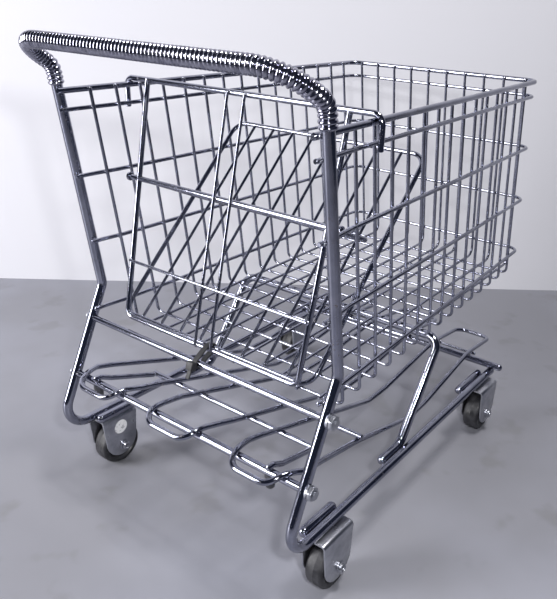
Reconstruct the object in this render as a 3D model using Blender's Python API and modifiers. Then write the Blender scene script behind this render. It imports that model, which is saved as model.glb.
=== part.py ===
"""Miniature wire shopping cart.

One bent tube makes the frame and the handle. It carries a tapering wire basket with a rear gate
and a folding child seat, a lower tray of three wire loops, and four fixed casters.
Metres, +X towards the front, +Y towards the cart's left, +Z up.
Lengths along X are measured from the rear axles; the finished cart has its origin on the ground
under its middle.
"""

import math

import bmesh
import bpy
from mathutils import Matrix, Vector
from mathutils.geometry import convex_hull_2d

# Clearance between pieces that touch, and how far a welded wire runs into the other one
GAP = 0.0003
WELD_SINK = 0.0004
MERGE = 0.00001
ARC_STEP = math.radians(20)

# Frame tube
TUBE_R = 0.0030
FRAME_HALF_WIDTH = 0.090
SIDE_TUBE_Z = 0.0423
FRAME_FRONT_X = 0.222
REAR_CORNER_X = -0.0366
REAR_CORNER_BEND = 0.014
KINK_X = 0.0044
KINK_Z = 0.1324
KINK_BEND = 0.008
UPRIGHT_LEAN = 0.15

# The tube bends back above the rim, and the handle lies behind the legs
SWEEP_Z = 0.2635
SWEEP_BEND = 0.0080
HANDLE_X = -0.0370
HANDLE_Z = 0.2775
HANDLE_BEND = 0.0215

# Ribbed grip sleeve over the handle
GRIP_R = 0.0043
GRIP_BORE_R = 0.0034
GRIP_ABOVE_RIM = 0.0010

# Rods and tubes across the frame
REAR_ROD_Z = 0.1122
REAR_ROD_R = 0.0017
TRAY_TUBE_Z = 0.079
TRAY_TUBE_R = 0.0020
NUT_ACROSS_FLATS = 0.0070
NUT_THICKNESS = 0.0030
BOLT_END_LENGTH = 0.0012
KNOB_INSET = 0.0215
KNOB_R = 0.0030
KNOB_LENGTH = 0.0078
FRONT_TUBE_X = 0.220
FRONT_TUBE_R = 0.0025
FRONT_TUBE_HALF = 0.0995

# Strut under the basket
STRUT_BAR_X = 0.133
STRUT_FOOT_X = 0.067
STRUT_FOOT_BEND_X = 0.091
STRUT_BEND = 0.009

# Casters
REAR_AXLE_X = 0.0055
FRONT_AXLE_X = 0.2060
WHEEL_R = 0.0145
WHEEL_WIDTH = 0.012
WHEEL_SHOULDER = 0.0022
WHEEL_RECESS_R = 0.0102
WHEEL_RECESS = 0.0013
HUB_R = 0.0044
HUB_WIDTH = 0.0130
WHEEL_STEPS = 24
AXLE_R = 0.0015
AXLE_HEAD_R = 0.0030
AXLE_HEAD_HEIGHT = 0.0030
BRACKET_SHEET = 0.0012
BRACKET_WIDTH = 0.0164
BRACKET_LENGTH = 0.0270
BRACKET_TRAIL = 0.0020
BRACKET_BEND = 0.0026
BRACKET_TOE_R = 0.0120
BRACKET_TOE_X = -0.0015
BRACKET_TOE_RISE = 0.0055
REAR_STUB_BACK_X = -0.0125
REAR_STUB_FRONT_X = 0.018
FRONT_STUB_BACK_X = 0.176
FRONT_STUB_FRONT_X = 0.2145

# Basket hoops: heights are those above the start of X, from which they rise towards the front
RIM_Z = 0.2508
RIM_R = 0.0015
HOOP_1_Z = 0.2405
HOOP_2_Z = 0.2030
HOOP_3_Z = 0.1623
HOOP_4_Z = 0.1190
HOOP_R = 0.0010
BASKET_RISE = 0.025
BASKET_INSET = 0.0075
BASKET_TAPER = 0.023
BASKET_TAPER_FROM_X = -0.012
BASKET_FRONT_X = 0.2565
BASKET_FRONT_Z = 0.257
BASKET_CORNER = 0.0095
HOOP_TAIL = 0.0040
HOOP_EASE_X = 0.018

# Upright ribs and floor wires
RIB_R = 0.00085
RIB_COUNT = 15
FIRST_RIB_X = 0.0211
LAST_RIB_TO_FRONT = 0.0164
RIB_LEAN = 0.15
RIB_DROP = 0.01615
RIB_CORNER = 0.0055
RIB_ABOVE_RIM = 0.0008
FLOOR_WIRE_R = 0.00085
FLOOR_WIRE_COUNT = 10
FLOOR_WIRE_PITCH = 0.01546
FLOOR_WIRE_BACK_X = 0.018
FLOOR_WIRE_BEND = 0.006

# Rear gate. Its thin wires lie on the back of the thick ones
GATE_WIRE_R = 0.0015
GATE_THIN_R = 0.0008
GATE_BOTTOM_X = 0.0034
GATE_BOTTOM_Z = 0.118
GATE_LEAN = 0.206
GATE_BOTTOM_HALF = 0.066
GATE_TOP_HALF = 0.070
GATE_CORNER = 0.005
GATE_MIDDLE_Z = 0.200
GATE_MIDDLE_HALF = 0.0765
GATE_LOWER_Z = 0.152
GATE_UPRIGHT_Y = 0.006
GATE_HOOK_HALF = 0.088
GATE_HOOK_LENGTH = 0.017
GATE_HOOK_BEND = 0.0035
GATE_BOLT_R = 0.0026
GATE_BOLT_LENGTH = 0.0022

# Child seat
SEAT_WIRE_R = 0.00125
SEAT_THIN_R = 0.00085
SEAT_HALF_WIDTH = 0.0723
SEAT_BACK_TOP_X = 0.1098
SEAT_BACK_TOP_Z = 0.2235
SEAT_BACK_CORNER = 0.009
SEAT_BACK_SPACES = 9
FLAP_HALF_WIDTH = 0.0650
FLAP_LENGTH = 0.0482
FLAP_CORNER = 0.005
FLAP_SPACES = 8
FLAP_SAG = 0.0004

# Lower tray
TRAY_WIRE_R = 0.0014
TRAY_REAR_X = -0.0295
TRAY_REAR_Z = 0.0795
TRAY_SLOPE_X = 0.001
TRAY_SLOPE_Z = 0.0786
TRAY_LOW_X = 0.132
TRAY_LOW_Z = 0.0440
TRAY_LOW_LENGTH = 0.024
TRAY_LEVEL = 0.006
TRAY_TIP_X = 0.268
TRAY_TIP_Z = 0.0455
TRAY_CENTRE_TIP_X = 0.275
TRAY_CENTRE_REAR_Y = 0.0165
TRAY_CENTRE_WIDE_X = 0.003
TRAY_CENTRE_WIDE_Y = 0.0205
TRAY_CENTRE_TIP_Y = 0.017
TRAY_INNER_REAR_Y = 0.048
TRAY_INNER_X = -0.008
TRAY_INNER_Y = 0.0428
TRAY_INNER_TIP_Y = 0.0402
TRAY_OUTER_REAR_Y = 0.074
TRAY_OUTER_X = -0.010
TRAY_OUTER_Y = 0.0832
TRAY_WAIST_X = 0.050
TRAY_WAIST_Y = 0.0770
TRAY_TIP_OUTER_Y = 0.069
TRAY_CORNER = 0.009
TRAY_SOFT_BEND = 0.018
TRAY_ROD_REAR_X = 0.022
TRAY_ROD_REAR_HALF = 0.0665
TRAY_ROD_MIDDLE_X = 0.050
TRAY_ROD_MIDDLE_HALF = 0.0800
TRAY_ROD_FRONT_X = 0.227
TRAY_ROD_FRONT_R = 0.00085
TRAY_ROD_FRONT_HALF = 0.074
SIDE_ROD_END_Y = 0.065
SIDE_ROD_LEVEL = 0.0020
SIDE_ROD_DROP = 0.0035
SIDE_ROD_BEND = 0.004

# Cable tie that holds the gate and the seat back to the rear rod
TIE_Y = -0.0022
TIE_WIDTH = 0.0048
TIE_BAND = 0.0010
TIE_HEAD = 0.0044
TIE_TAIL = 0.0070


def leg_x(z):
    """The frame tube's centre line behind the basket, at a height."""
    if z >= KINK_Z:
        return KINK_X - UPRIGHT_LEAN * (z - KINK_Z)
    return REAR_CORNER_X + LEG_SLOPE * (z - SIDE_TUBE_Z)


def hoop_z(name, x):
    return HOOPS[name][0] + BASKET_RISE * x


def rib_y(x):
    """Half width between the ribs' centre lines."""
    return BASKET_REAR_HALF - BASKET_TAPER * (x - BASKET_TAPER_FROM_X)


def wall_x(z):
    """The front wall wires' centre line at a height."""
    return BASKET_FRONT_X + RIB_LEAN * (BASKET_FRONT_Z - z)


def floor_z(x):
    """The ribs' centre line along the floor."""
    return hoop_z("basket_hoop_4", x - RIB_LEAN * RIB_DROP) - RIB_DROP


def gate_x(z):
    return GATE_BOTTOM_X + GATE_LEAN * (z - GATE_BOTTOM_Z)


def tray_knots():
    """The tray wires' centre line from the side, level over both tubes and along its low stretch."""
    over_rear = TRAY_TUBE_Z + TRAY_TUBE_R + GAP + TRAY_WIRE_R
    over_front = FRONT_TUBE_Z + FRONT_TUBE_R + GAP + TRAY_WIRE_R
    tube_x = leg_x(TRAY_TUBE_Z)
    return [
        (TRAY_REAR_X, TRAY_REAR_Z),
        (tube_x - TRAY_LEVEL / 2, over_rear),
        (tube_x + TRAY_LEVEL / 2, over_rear),
        (TRAY_SLOPE_X, TRAY_SLOPE_Z),
        (TRAY_LOW_X - TRAY_LOW_LENGTH / 2, TRAY_LOW_Z),
        (TRAY_LOW_X + TRAY_LOW_LENGTH / 2, TRAY_LOW_Z),
        (FRONT_TUBE_X - TRAY_LEVEL / 2, over_front),
        (FRONT_TUBE_X + TRAY_LEVEL / 2, over_front),
        (TRAY_CENTRE_TIP_X, TRAY_TIP_Z),
    ]


def tray_z(x):
    knots = tray_knots()
    for (x0, z0), (x1, z1) in zip(knots, knots[1:]):
        if x <= x1:
            return z0 + (z1 - z0) * (x - x0) / (x1 - x0)
    return knots[-1][1]


HOOPS = {
    "basket_rim": (RIM_Z, RIM_R),
    "basket_hoop_1": (HOOP_1_Z, HOOP_R),
    "basket_hoop_2": (HOOP_2_Z, HOOP_R),
    "basket_hoop_3": (HOOP_3_Z, HOOP_R),
    "basket_hoop_4": (HOOP_4_Z, HOOP_R),
}
BASKET_REAR_HALF = FRAME_HALF_WIDTH - BASKET_INSET
KNOB_Y = FRAME_HALF_WIDTH - KNOB_INSET
LEG_SLOPE = (KINK_X - REAR_CORNER_X) / (KINK_Z - SIDE_TUBE_Z)
BRACKET_TOP_Z = SIDE_TUBE_Z - TUBE_R - GAP
FRONT_TUBE_Z = SIDE_TUBE_Z + TUBE_R + GAP + FRONT_TUBE_R
INNER_TUBE_Y = FRAME_HALF_WIDTH - 2 * TUBE_R - GAP
STRUT_BAR_Z = floor_z(STRUT_BAR_X) - RIB_R - GAP - TUBE_R
HINGE_X = GATE_BOTTOM_X + GATE_WIRE_R + GAP + SEAT_WIRE_R
HINGE_Z = GATE_BOTTOM_Z
LAST_RIB_X = wall_x(hoop_z("basket_hoop_4", BASKET_FRONT_X)) - LAST_RIB_TO_FRONT
RIB_PITCH = (LAST_RIB_X - FIRST_RIB_X) / (RIB_COUNT - 1)
BASKET_END_X = wall_x(hoop_z("basket_hoop_4", BASKET_FRONT_X)) + RIB_R + GAP + 2 * HOOP_R
REAR_BEND_X = leg_x(SIDE_TUBE_Z + REAR_CORNER_BEND) + REAR_CORNER_BEND * (math.hypot(1, LEG_SLOPE) - 1)
REAR_END_X = min(REAR_BEND_X - TUBE_R, HANDLE_X - GRIP_R)
MIDDLE_X = (BASKET_END_X + REAR_END_X) / 2

cart = bpy.data.collections.new("shopping_cart")
cutters = bpy.data.collections.new("cutters")


def clear_scene():
    for obj in list(bpy.data.objects):
        bpy.data.objects.remove(obj)
    for collection in (cart, cutters):
        bpy.context.scene.collection.children.link(collection)
    cutters.hide_render = True


def material(name, colour, roughness, metallic):
    made = bpy.data.materials.new(name)
    made.use_nodes = True
    shader = made.node_tree.nodes["Principled BSDF"]
    shader.inputs["Base Color"].default_value = (*colour, 1)
    shader.inputs["Roughness"].default_value = roughness
    shader.inputs["Metallic"].default_value = metallic
    return made


def at(x, y, z):
    """A point of the cart in the finished frame."""
    return Vector((x - MIDDLE_X, y, z))


def rounded(corners, radii):
    """The line through the corners, with each inner corner turned into an arc of its radius."""
    points = [corners[0]]
    for before, corner, after, radius in zip(corners, corners[1:], corners[2:], radii):
        into = (corner - before).normalized()
        out = (after - corner).normalized()
        turn = into.angle(out)
        start = corner - into * radius * math.tan(turn / 2)
        centre = corner + (out - into).normalized() * radius / math.cos(turn / 2)
        steps = max(1, math.ceil(turn / ARC_STEP))
        for step in range(steps + 1):
            spin = Matrix.Rotation(turn * step / steps, 3, into.cross(out))
            points.append(centre + spin @ (start - centre))
    return points + [corners[-1]]


def rounded_ring(corners, radii):
    """The closed line through the corners, rounded at every one."""
    around = [corners[-1]] + corners + [corners[0]]
    return rounded(around, radii)[1:-1]


def mirrored(points):
    """Points down one side, then the same ones back up the other side."""
    return points + [Vector((p.x, -p.y, p.z)) for p in reversed(points)]


def finish(obj, look):
    obj.data.materials.clear()
    obj.data.materials.append(look)
    cart.objects.link(obj)
    return obj


def curve_object(name, points, radius, detail, closed=False):
    curve = bpy.data.curves.new(name, "CURVE")
    curve.dimensions = "3D"
    curve.bevel_depth = radius
    curve.bevel_resolution = detail
    curve.use_fill_caps = not closed
    spline = curve.splines.new("POLY")
    spline.points.add(len(points) - 1)
    for knot, point in zip(spline.points, points):
        knot.co = (*point, 1)
    spline.use_cyclic_u = closed
    return bpy.data.objects.new(name, curve)


def wire(name, points, radius, look, detail=1, closed=False):
    return finish(curve_object(name, points, radius, detail, closed), look)


def as_mesh(obj):
    """The curve's solid as a mesh object, its caps welded on."""
    cutters.objects.link(obj)
    bpy.context.view_layer.update()
    graph = bpy.context.evaluated_depsgraph_get()
    mesh = bpy.data.meshes.new_from_object(obj.evaluated_get(graph))
    shape = bmesh.new()
    shape.from_mesh(mesh)
    bmesh.ops.remove_doubles(shape, verts=shape.verts, dist=MERGE)
    shape.to_mesh(mesh)
    shape.free()
    made = bpy.data.objects.new(obj.name, mesh)
    made.matrix_world = obj.matrix_world
    bpy.data.objects.remove(obj)
    return made


def wire_mesh(name, points, radius, detail=1):
    return as_mesh(curve_object(name, points, radius, detail))


def plate_mesh(name, outlines, thickness):
    """A flat plate in the local XY plane: the first outline with the others cut out."""
    curve = bpy.data.curves.new(name, "CURVE")
    curve.dimensions = "2D"
    curve.fill_mode = "BOTH"
    curve.extrude = thickness / 2
    for outline in outlines:
        spline = curve.splines.new("POLY")
        spline.points.add(len(outline) - 1)
        for knot, point in zip(spline.points, outline):
            knot.co = (point.x, point.y, 0, 1)
        spline.use_cyclic_u = True
    return as_mesh(bpy.data.objects.new(name, curve))


def cylinder_mesh(name, radius, depth, centre, axis, sides=12, top_radius=None):
    shape = bmesh.new()
    top = radius if top_radius is None else top_radius
    turn = axis.to_track_quat("Z", "Y").to_matrix().to_4x4()
    bmesh.ops.create_cone(
        shape,
        cap_ends=True,
        segments=sides,
        radius1=radius,
        radius2=top,
        depth=depth,
        matrix=Matrix.Translation(centre) @ turn,
    )
    mesh = bpy.data.meshes.new(name)
    shape.to_mesh(mesh)
    shape.free()
    return bpy.data.objects.new(name, mesh)


def join(base, others, operation):
    """Joins the others to the base's solid, or keeps only what they share with it."""
    for other in others:
        cutters.objects.link(other)
        other.hide_render = True
        other.display_type = "WIRE"
        step = base.modifiers.new(other.name, "BOOLEAN")
        step.operation = operation
        step.solver = "EXACT"
        step.object = other


def combined(name, base, others, look, origin=None, operation="UNION"):
    """One solid from several, with its origin on a joint's axis where it has one."""
    bpy.context.view_layer.update()
    base.name = name
    if origin is not None:
        base.data.transform(base.matrix_world)
        base.data.transform(Matrix.Translation(-origin))
        base.matrix_world = Matrix.Translation(origin)
    join(base, others, operation)
    return finish(base, look)


def arc(centre, radius, start, end, steps):
    """Points on an arc in a plane, from one angle to another."""
    angles = [start + (end - start) * step / steps for step in range(steps + 1)]
    return [Vector((centre.x + radius * math.cos(a), centre.y + radius * math.sin(a))) for a in angles]


def frame_side():
    """The tube's corners down the left side, from the handle to the front end."""
    return [
        at(HANDLE_X, FRAME_HALF_WIDTH, HANDLE_Z),
        at(leg_x(SWEEP_Z), FRAME_HALF_WIDTH, SWEEP_Z),
        at(KINK_X, FRAME_HALF_WIDTH, KINK_Z),
        at(REAR_CORNER_X, FRAME_HALF_WIDTH, SIDE_TUBE_Z),
        at(FRAME_FRONT_X, FRAME_HALF_WIDTH, SIDE_TUBE_Z),
    ]


def build_frame(chrome, plastic):
    corners = mirrored(frame_side()[::-1])
    bends = [REAR_CORNER_BEND, KINK_BEND, SWEEP_BEND, HANDLE_BEND]
    wire("frame_tube", rounded(corners, bends + bends[::-1]), TUBE_R, chrome, detail=4)

    grip_end_z = RIM_Z + RIM_R + GRIP_ABOVE_RIM
    grip_corners = [
        at(leg_x(grip_end_z), FRAME_HALF_WIDTH, grip_end_z),
        at(leg_x(SWEEP_Z), FRAME_HALF_WIDTH, SWEEP_Z),
        at(HANDLE_X, FRAME_HALF_WIDTH, HANDLE_Z),
    ]
    bends = [SWEEP_BEND, HANDLE_BEND]
    points = rounded(mirrored(grip_corners), bends + bends[::-1])
    grip = curve_object("handle_grip", points, GRIP_R, 4)
    grip.data.use_fill_caps = False
    wall = grip.modifiers.new("wall", "SOLIDIFY")
    wall.thickness = GRIP_R - GRIP_BORE_R
    wall.offset = -1
    finish(grip, plastic)


def cross_rod(name, z, radius, look, others=()):
    """A rod between the legs' inner faces."""
    half = FRAME_HALF_WIDTH - TUBE_R - GAP
    ends = [at(leg_x(z), half, z), at(leg_x(z), -half, z)]
    return combined(name, wire_mesh(name, ends, radius, 2), list(others), look)


def build_nut(name, z, side, bolt_r, look):
    """A hex nut outside a leg, with the rod's end showing in it."""
    inner = FRAME_HALF_WIDTH + TUBE_R + GAP
    across_corners = NUT_ACROSS_FLATS / math.cos(math.pi / 6)
    out = Vector((0, side, 0))
    middle = at(leg_x(z), side * (inner + NUT_THICKNESS / 2), z)
    nut = cylinder_mesh(name, across_corners / 2, NUT_THICKNESS, middle, out, sides=6)
    reach = NUT_THICKNESS + BOLT_END_LENGTH
    end = cylinder_mesh(name + "_end", bolt_r, reach, middle + out * BOLT_END_LENGTH / 2, out, 8)
    combined(name, nut, [end], look)


def build_cross_members(chrome, steel):
    cross_rod("rear_cross_rod", REAR_ROD_Z, REAR_ROD_R, chrome)
    down = Vector((0, 0, -1))
    knob_z = TRAY_TUBE_Z - TRAY_TUBE_R / 2 - KNOB_LENGTH / 2
    knobs = [
        cylinder_mesh("tray_knob", KNOB_R, KNOB_LENGTH, at(leg_x(TRAY_TUBE_Z), y, knob_z), down, 10)
        for y in (KNOB_Y, -KNOB_Y)
    ]
    cross_rod("tray_rear_tube", TRAY_TUBE_Z, TRAY_TUBE_R, chrome, knobs)
    for side, word in ((1, "left"), (-1, "right")):
        build_nut(f"rod_nut_{word}", REAR_ROD_Z, side, REAR_ROD_R, steel)
        build_nut(f"tray_nut_{word}", TRAY_TUBE_Z, side, TRAY_TUBE_R, steel)

    front = [at(FRONT_TUBE_X, FRONT_TUBE_HALF, FRONT_TUBE_Z), at(FRONT_TUBE_X, -FRONT_TUBE_HALF, FRONT_TUBE_Z)]
    wire("front_cross_tube", front, FRONT_TUBE_R, chrome, detail=2)

    leg = [
        at(STRUT_FOOT_X, INNER_TUBE_Y, SIDE_TUBE_Z),
        at(STRUT_FOOT_BEND_X, INNER_TUBE_Y, SIDE_TUBE_Z),
        at(STRUT_BAR_X, INNER_TUBE_Y, STRUT_BAR_Z),
    ]
    wire("basket_strut", rounded(mirrored(leg), [STRUT_BEND] * 4), TUBE_R, chrome, detail=2)


def bracket_outline():
    """The bracket seen from the side, about the axle: nearly straight sides and a round toe."""
    top = BRACKET_TOP_Z - WHEEL_R
    back = -BRACKET_TRAIL - BRACKET_LENGTH / 2
    front = -BRACKET_TRAIL + BRACKET_LENGTH / 2
    toe = arc(Vector((BRACKET_TOE_X, BRACKET_TOE_RISE)), BRACKET_TOE_R, -math.pi, 0, 12)
    return [Vector((front, top)), Vector((back, top))] + toe


def channel_outline():
    """The bracket seen from the front: a U turned over, with round shoulders."""
    half = BRACKET_WIDTH / 2
    top = BRACKET_TOP_Z - WHEEL_R
    foot = BRACKET_TOE_RISE - BRACKET_TOE_R - BRACKET_SHEET
    outer_left = arc(Vector((-half + BRACKET_BEND, top - BRACKET_BEND)), BRACKET_BEND, math.pi, math.pi / 2, 3)
    outer_right = arc(Vector((half - BRACKET_BEND, top - BRACKET_BEND)), BRACKET_BEND, math.pi / 2, 0, 3)
    inside = half - BRACKET_SHEET
    roof = top - BRACKET_SHEET
    inner = [Vector((inside, foot)), Vector((inside, roof)), Vector((-inside, roof)), Vector((-inside, foot))]
    return [Vector((-half, foot))] + outer_left + outer_right + [Vector((half, foot))] + inner


def build_caster(word, x, side, stub_ends, steel, rubber):
    axle = at(x, side * FRAME_HALF_WIDTH, WHEEL_R)
    across = Vector((0, 1, 0))

    channel = plate_mesh(f"caster_bracket_{word}", [channel_outline()], 2 * BRACKET_LENGTH)
    stand = Matrix(((0, 0, 1), (1, 0, 0), (0, 1, 0))).to_4x4()
    channel.matrix_world = Matrix.Translation(axle) @ stand
    side_plate = plate_mesh(f"caster_side_{word}", [bracket_outline()], 2 * BRACKET_WIDTH)
    side_plate.matrix_world = Matrix.Translation(axle) @ Matrix.Rotation(math.radians(90), 4, "X")
    bracket = combined(f"caster_bracket_{word}", channel, [side_plate], steel, operation="INTERSECT")

    pin = cylinder_mesh(f"axle_{word}", AXLE_R, BRACKET_WIDTH, axle, across, 10)
    heads = [
        cylinder_mesh(
            f"axle_head_{word}",
            AXLE_HEAD_R,
            AXLE_HEAD_HEIGHT + BRACKET_SHEET / 2,
            axle + way * across * (BRACKET_WIDTH / 2 + AXLE_HEAD_HEIGHT / 2 - BRACKET_SHEET / 4),
            way * across,
            10,
            top_radius=AXLE_HEAD_R * 0.6,
        )
        for way in (1, -1)
    ]
    stub_z = BRACKET_TOP_Z + TUBE_R - WELD_SINK
    stub_points = [at(end, side * INNER_TUBE_Y, stub_z) for end in stub_ends]
    stub = wire_mesh(f"caster_stub_{word}", stub_points, TUBE_R, 2)
    join(bracket, [pin, stub] + heads, "UNION")
    build_wheel(f"wheel_{word}", axle, rubber)


def build_wheel(name, axle, rubber):
    """A tyre with a recessed web on each side and a hub that runs on the axle."""
    half = WHEEL_WIDTH / 2
    hub = HUB_WIDTH / 2
    web = half - WHEEL_RECESS
    bore = AXLE_R + GAP
    shoulder = WHEEL_R - WHEEL_SHOULDER
    rim_inner = WHEEL_RECESS_R + WHEEL_RECESS
    curve = arc(Vector((shoulder, half - WHEEL_SHOULDER)), WHEEL_SHOULDER, math.pi / 2, 0, 2)
    upper = [
        Vector((bore, hub)),
        Vector((HUB_R, hub)),
        Vector((HUB_R, web)),
        Vector((WHEEL_RECESS_R, web)),
        Vector((rim_inner, half)),
    ] + curve
    profile = upper + [Vector((p.x, -p.y)) for p in reversed(upper)]
    shape = bmesh.new()
    knots = [shape.verts.new((p.x, 0, p.y)) for p in profile]
    for first, second in zip(knots, knots[1:] + knots[:1]):
        shape.edges.new((first, second))
    mesh = bpy.data.meshes.new(name)
    shape.to_mesh(mesh)
    shape.free()
    wheel = bpy.data.objects.new(name, mesh)
    wheel.location = axle
    wheel.rotation_euler.x = math.radians(90)
    turn = wheel.modifiers.new("turn", "SCREW")
    turn.steps = WHEEL_STEPS
    turn.render_steps = WHEEL_STEPS
    turn.use_merge_vertices = True
    turn.merge_threshold = MERGE
    finish(wheel, rubber)


def build_hoop(name, chrome):
    """A hoop round the basket, from one leg past the front to the other leg."""
    height, radius = HOOPS[name]
    outside = RIB_R + GAP + radius
    leg = leg_x(height)
    leg_y = FRAME_HALF_WIDTH - TUBE_R - GAP - radius
    front_x = BASKET_FRONT_X
    for _ in range(3):
        front_x = wall_x(hoop_z(name, front_x)) + outside
    places = [
        (leg - HOOP_TAIL, leg_y),
        (leg + HOOP_TAIL, leg_y),
        (HOOP_EASE_X, rib_y(HOOP_EASE_X) + outside),
        (front_x, rib_y(front_x) + outside),
    ]
    side = [at(x, y, hoop_z(name, x)) for x, y in places]
    bends = [HOOP_EASE_X, HOOP_EASE_X, BASKET_CORNER]
    wire(name, rounded(mirrored(side), bends + bends[::-1]), radius, chrome)


def build_rib(number, chrome):
    """A U of wire: down one side, across the floor and up the other side."""
    x = FIRST_RIB_X + RIB_PITCH * number
    level = hoop_z("basket_hoop_4", x)
    rise = hoop_z("basket_rim", x) - level + RIB_ABOVE_RIM
    top_x = x - RIB_LEAN * rise
    low_x = x + RIB_LEAN * RIB_DROP
    side = [
        at(top_x, rib_y(top_x), level + rise - BASKET_RISE * RIB_LEAN * rise),
        at(low_x, rib_y(low_x), level - RIB_DROP),
    ]
    wire(f"basket_rib_{number + 1:02d}", rounded(mirrored(side), [RIB_CORNER] * 2), RIB_R, chrome)


def build_floor_wire(number, chrome):
    """A wire along the floor that turns up inside the front of the hoops."""
    y = ((FLOOR_WIRE_COUNT - 1) / 2 - number) * FLOOR_WIRE_PITCH
    lift = RIB_R + GAP + FLOOR_WIRE_R
    corner_x = BASKET_FRONT_X
    top_x = BASKET_FRONT_X
    for _ in range(3):
        corner_x = wall_x(floor_z(corner_x) + lift)
        top_x = wall_x(hoop_z("basket_rim", top_x) + RIB_ABOVE_RIM)
    corners = [
        at(FLOOR_WIRE_BACK_X, y, floor_z(FLOOR_WIRE_BACK_X) + lift),
        at(corner_x, y, floor_z(corner_x) + lift),
        at(top_x, y, hoop_z("basket_rim", top_x) + RIB_ABOVE_RIM),
    ]
    wire(f"floor_wire_{number + 1:02d}", rounded(corners, [FLOOR_WIRE_BEND]), FLOOR_WIRE_R, chrome)


def build_gate(chrome):
    """The rear gate: a wire outline hung over the rim, a middle bar, and thin wires welded on its back."""
    top_z = GATE_BOTTOM_Z
    for _ in range(4):
        top_z = hoop_z("basket_rim", gate_x(top_z)) + RIM_R + GAP + GATE_WIRE_R
    hook = [
        at(gate_x(top_z), GATE_HOOK_HALF, top_z),
        at(gate_x(top_z), GATE_HOOK_HALF, top_z - GATE_HOOK_LENGTH),
    ]
    bar = rounded(mirrored(hook[::-1]), [GATE_HOOK_BEND] * 2)
    outline = [
        at(gate_x(top_z), GATE_TOP_HALF, top_z),
        at(GATE_BOTTOM_X, GATE_BOTTOM_HALF, GATE_BOTTOM_Z),
    ]
    middle = [at(gate_x(GATE_MIDDLE_Z), y, GATE_MIDDLE_Z) for y in (GATE_MIDDLE_HALF, -GATE_MIDDLE_HALF)]
    lower_half = GATE_BOTTOM_HALF + (GATE_TOP_HALF - GATE_BOTTOM_HALF) * (GATE_LOWER_Z - GATE_BOTTOM_Z) / (
        top_z - GATE_BOTTOM_Z
    )
    behind = Vector((-1, 0, GATE_LEAN)).normalized() * (GATE_WIRE_R + GATE_THIN_R - WELD_SINK)
    lower = [at(gate_x(GATE_LOWER_Z), y, GATE_LOWER_Z) + behind for y in (lower_half, -lower_half)]
    pieces = [
        wire_mesh("gate_outline", rounded(mirrored(outline), [GATE_CORNER] * 2), GATE_WIRE_R, 2),
        wire_mesh("gate_middle", middle, GATE_WIRE_R, 2),
        wire_mesh("gate_lower", lower, GATE_THIN_R),
    ]
    for y in (GATE_UPRIGHT_Y, -GATE_UPRIGHT_Y):
        ends = [at(gate_x(top_z), y, top_z) + behind, at(GATE_BOTTOM_X, y, GATE_BOTTOM_Z) + behind]
        pieces.append(wire_mesh("gate_upright", ends, GATE_THIN_R))
    for side in (1, -1):
        end = at(gate_x(GATE_MIDDLE_Z), side * GATE_MIDDLE_HALF, GATE_MIDDLE_Z)
        pieces.append(cylinder_mesh("gate_bolt", GATE_BOLT_R, GATE_BOLT_LENGTH, end, Vector((0, 1, 0)), 8))
    combined("rear_gate", wire_mesh("rear_gate", bar, GATE_WIRE_R, 2), pieces, chrome)


def panel(name, start, end, half, corner, spaces, origin, look, rods=()):
    """A flat wire panel: a rounded frame, wires along it and thin rods across it at shares of its length."""
    along = end - start
    across = Vector((0, half, 0))
    corners = [start + across, end + across, end - across, start - across]
    ring = curve_object(name, rounded_ring(corners, [corner] * 4), SEAT_WIRE_R, 2, closed=True)
    pieces = []
    for space in range(1, spaces):
        y = half * (1 - 2 * space / spaces)
        ends = [start + Vector((0, y, 0)), end + Vector((0, y, 0))]
        pieces.append(wire_mesh(f"{name}_wire", ends, SEAT_THIN_R))
    for share in rods:
        middle = start + along * share
        pieces.append(wire_mesh(f"{name}_rod", [middle + across, middle - across], SEAT_THIN_R))
    return combined(name, as_mesh(ring), pieces, look, origin)


def build_seat(chrome):
    """The child seat: a back that leans forward from the gate's foot and a flap that rests on it."""
    foot = at(HINGE_X, 0, HINGE_Z)
    top = at(SEAT_BACK_TOP_X, 0, SEAT_BACK_TOP_Z)
    panel("seat_back", foot, top, SEAT_HALF_WIDTH, SEAT_BACK_CORNER, SEAT_BACK_SPACES, foot, chrome)

    slope = (top - foot).normalized()
    normal = Vector((-slope.z, 0, slope.x))
    hinge = at(gate_x(GATE_MIDDLE_Z), 0, GATE_MIDDLE_Z)
    above = SEAT_WIRE_R + SEAT_THIN_R + GAP + FLAP_SAG
    height = (hinge - foot).dot(normal) - above
    run = math.sqrt(FLAP_LENGTH**2 - height**2)
    tip = hinge - normal * height + slope * run
    reach = (tip - hinge).normalized()
    rear = hinge + reach * (GATE_WIRE_R + GAP + SEAT_WIRE_R)
    panel("seat_flap", rear, tip, FLAP_HALF_WIDTH, FLAP_CORNER, FLAP_SPACES, hinge, chrome, rods=(0.5,))


def tray_loop(name, places, chrome):
    """A closed loop of wire laid over the tray's profile. Each place is a corner and its bend."""
    flat = rounded_ring([Vector((x, y, 0)) for x, y, _ in places], [bend for _, _, bend in places])
    points = []
    for first, second in zip(flat, flat[1:] + flat[:1]):
        run = second.x - first.x
        shares = [0] + sorted((x - first.x) / run for x, _ in tray_knots() if abs(run) > TRAY_LEVEL)
        for share in shares:
            if 0 <= share < 1:
                spot = first.lerp(second, share)
                points.append(at(spot.x, spot.y, tray_z(spot.x)))
    wire(name, points, TRAY_WIRE_R, chrome, closed=True)


def tray_rod(name, x, half, radius, offset, chrome):
    """A wire across the loops, under or over them. Returns its height."""
    slope = (tray_z(x + MERGE) - tray_z(x - MERGE)) / (2 * MERGE)
    z = tray_z(x) + offset * math.hypot(1, slope)
    wire(name, [at(x, half, z), at(x, -half, z)], radius, chrome)
    return z


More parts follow.
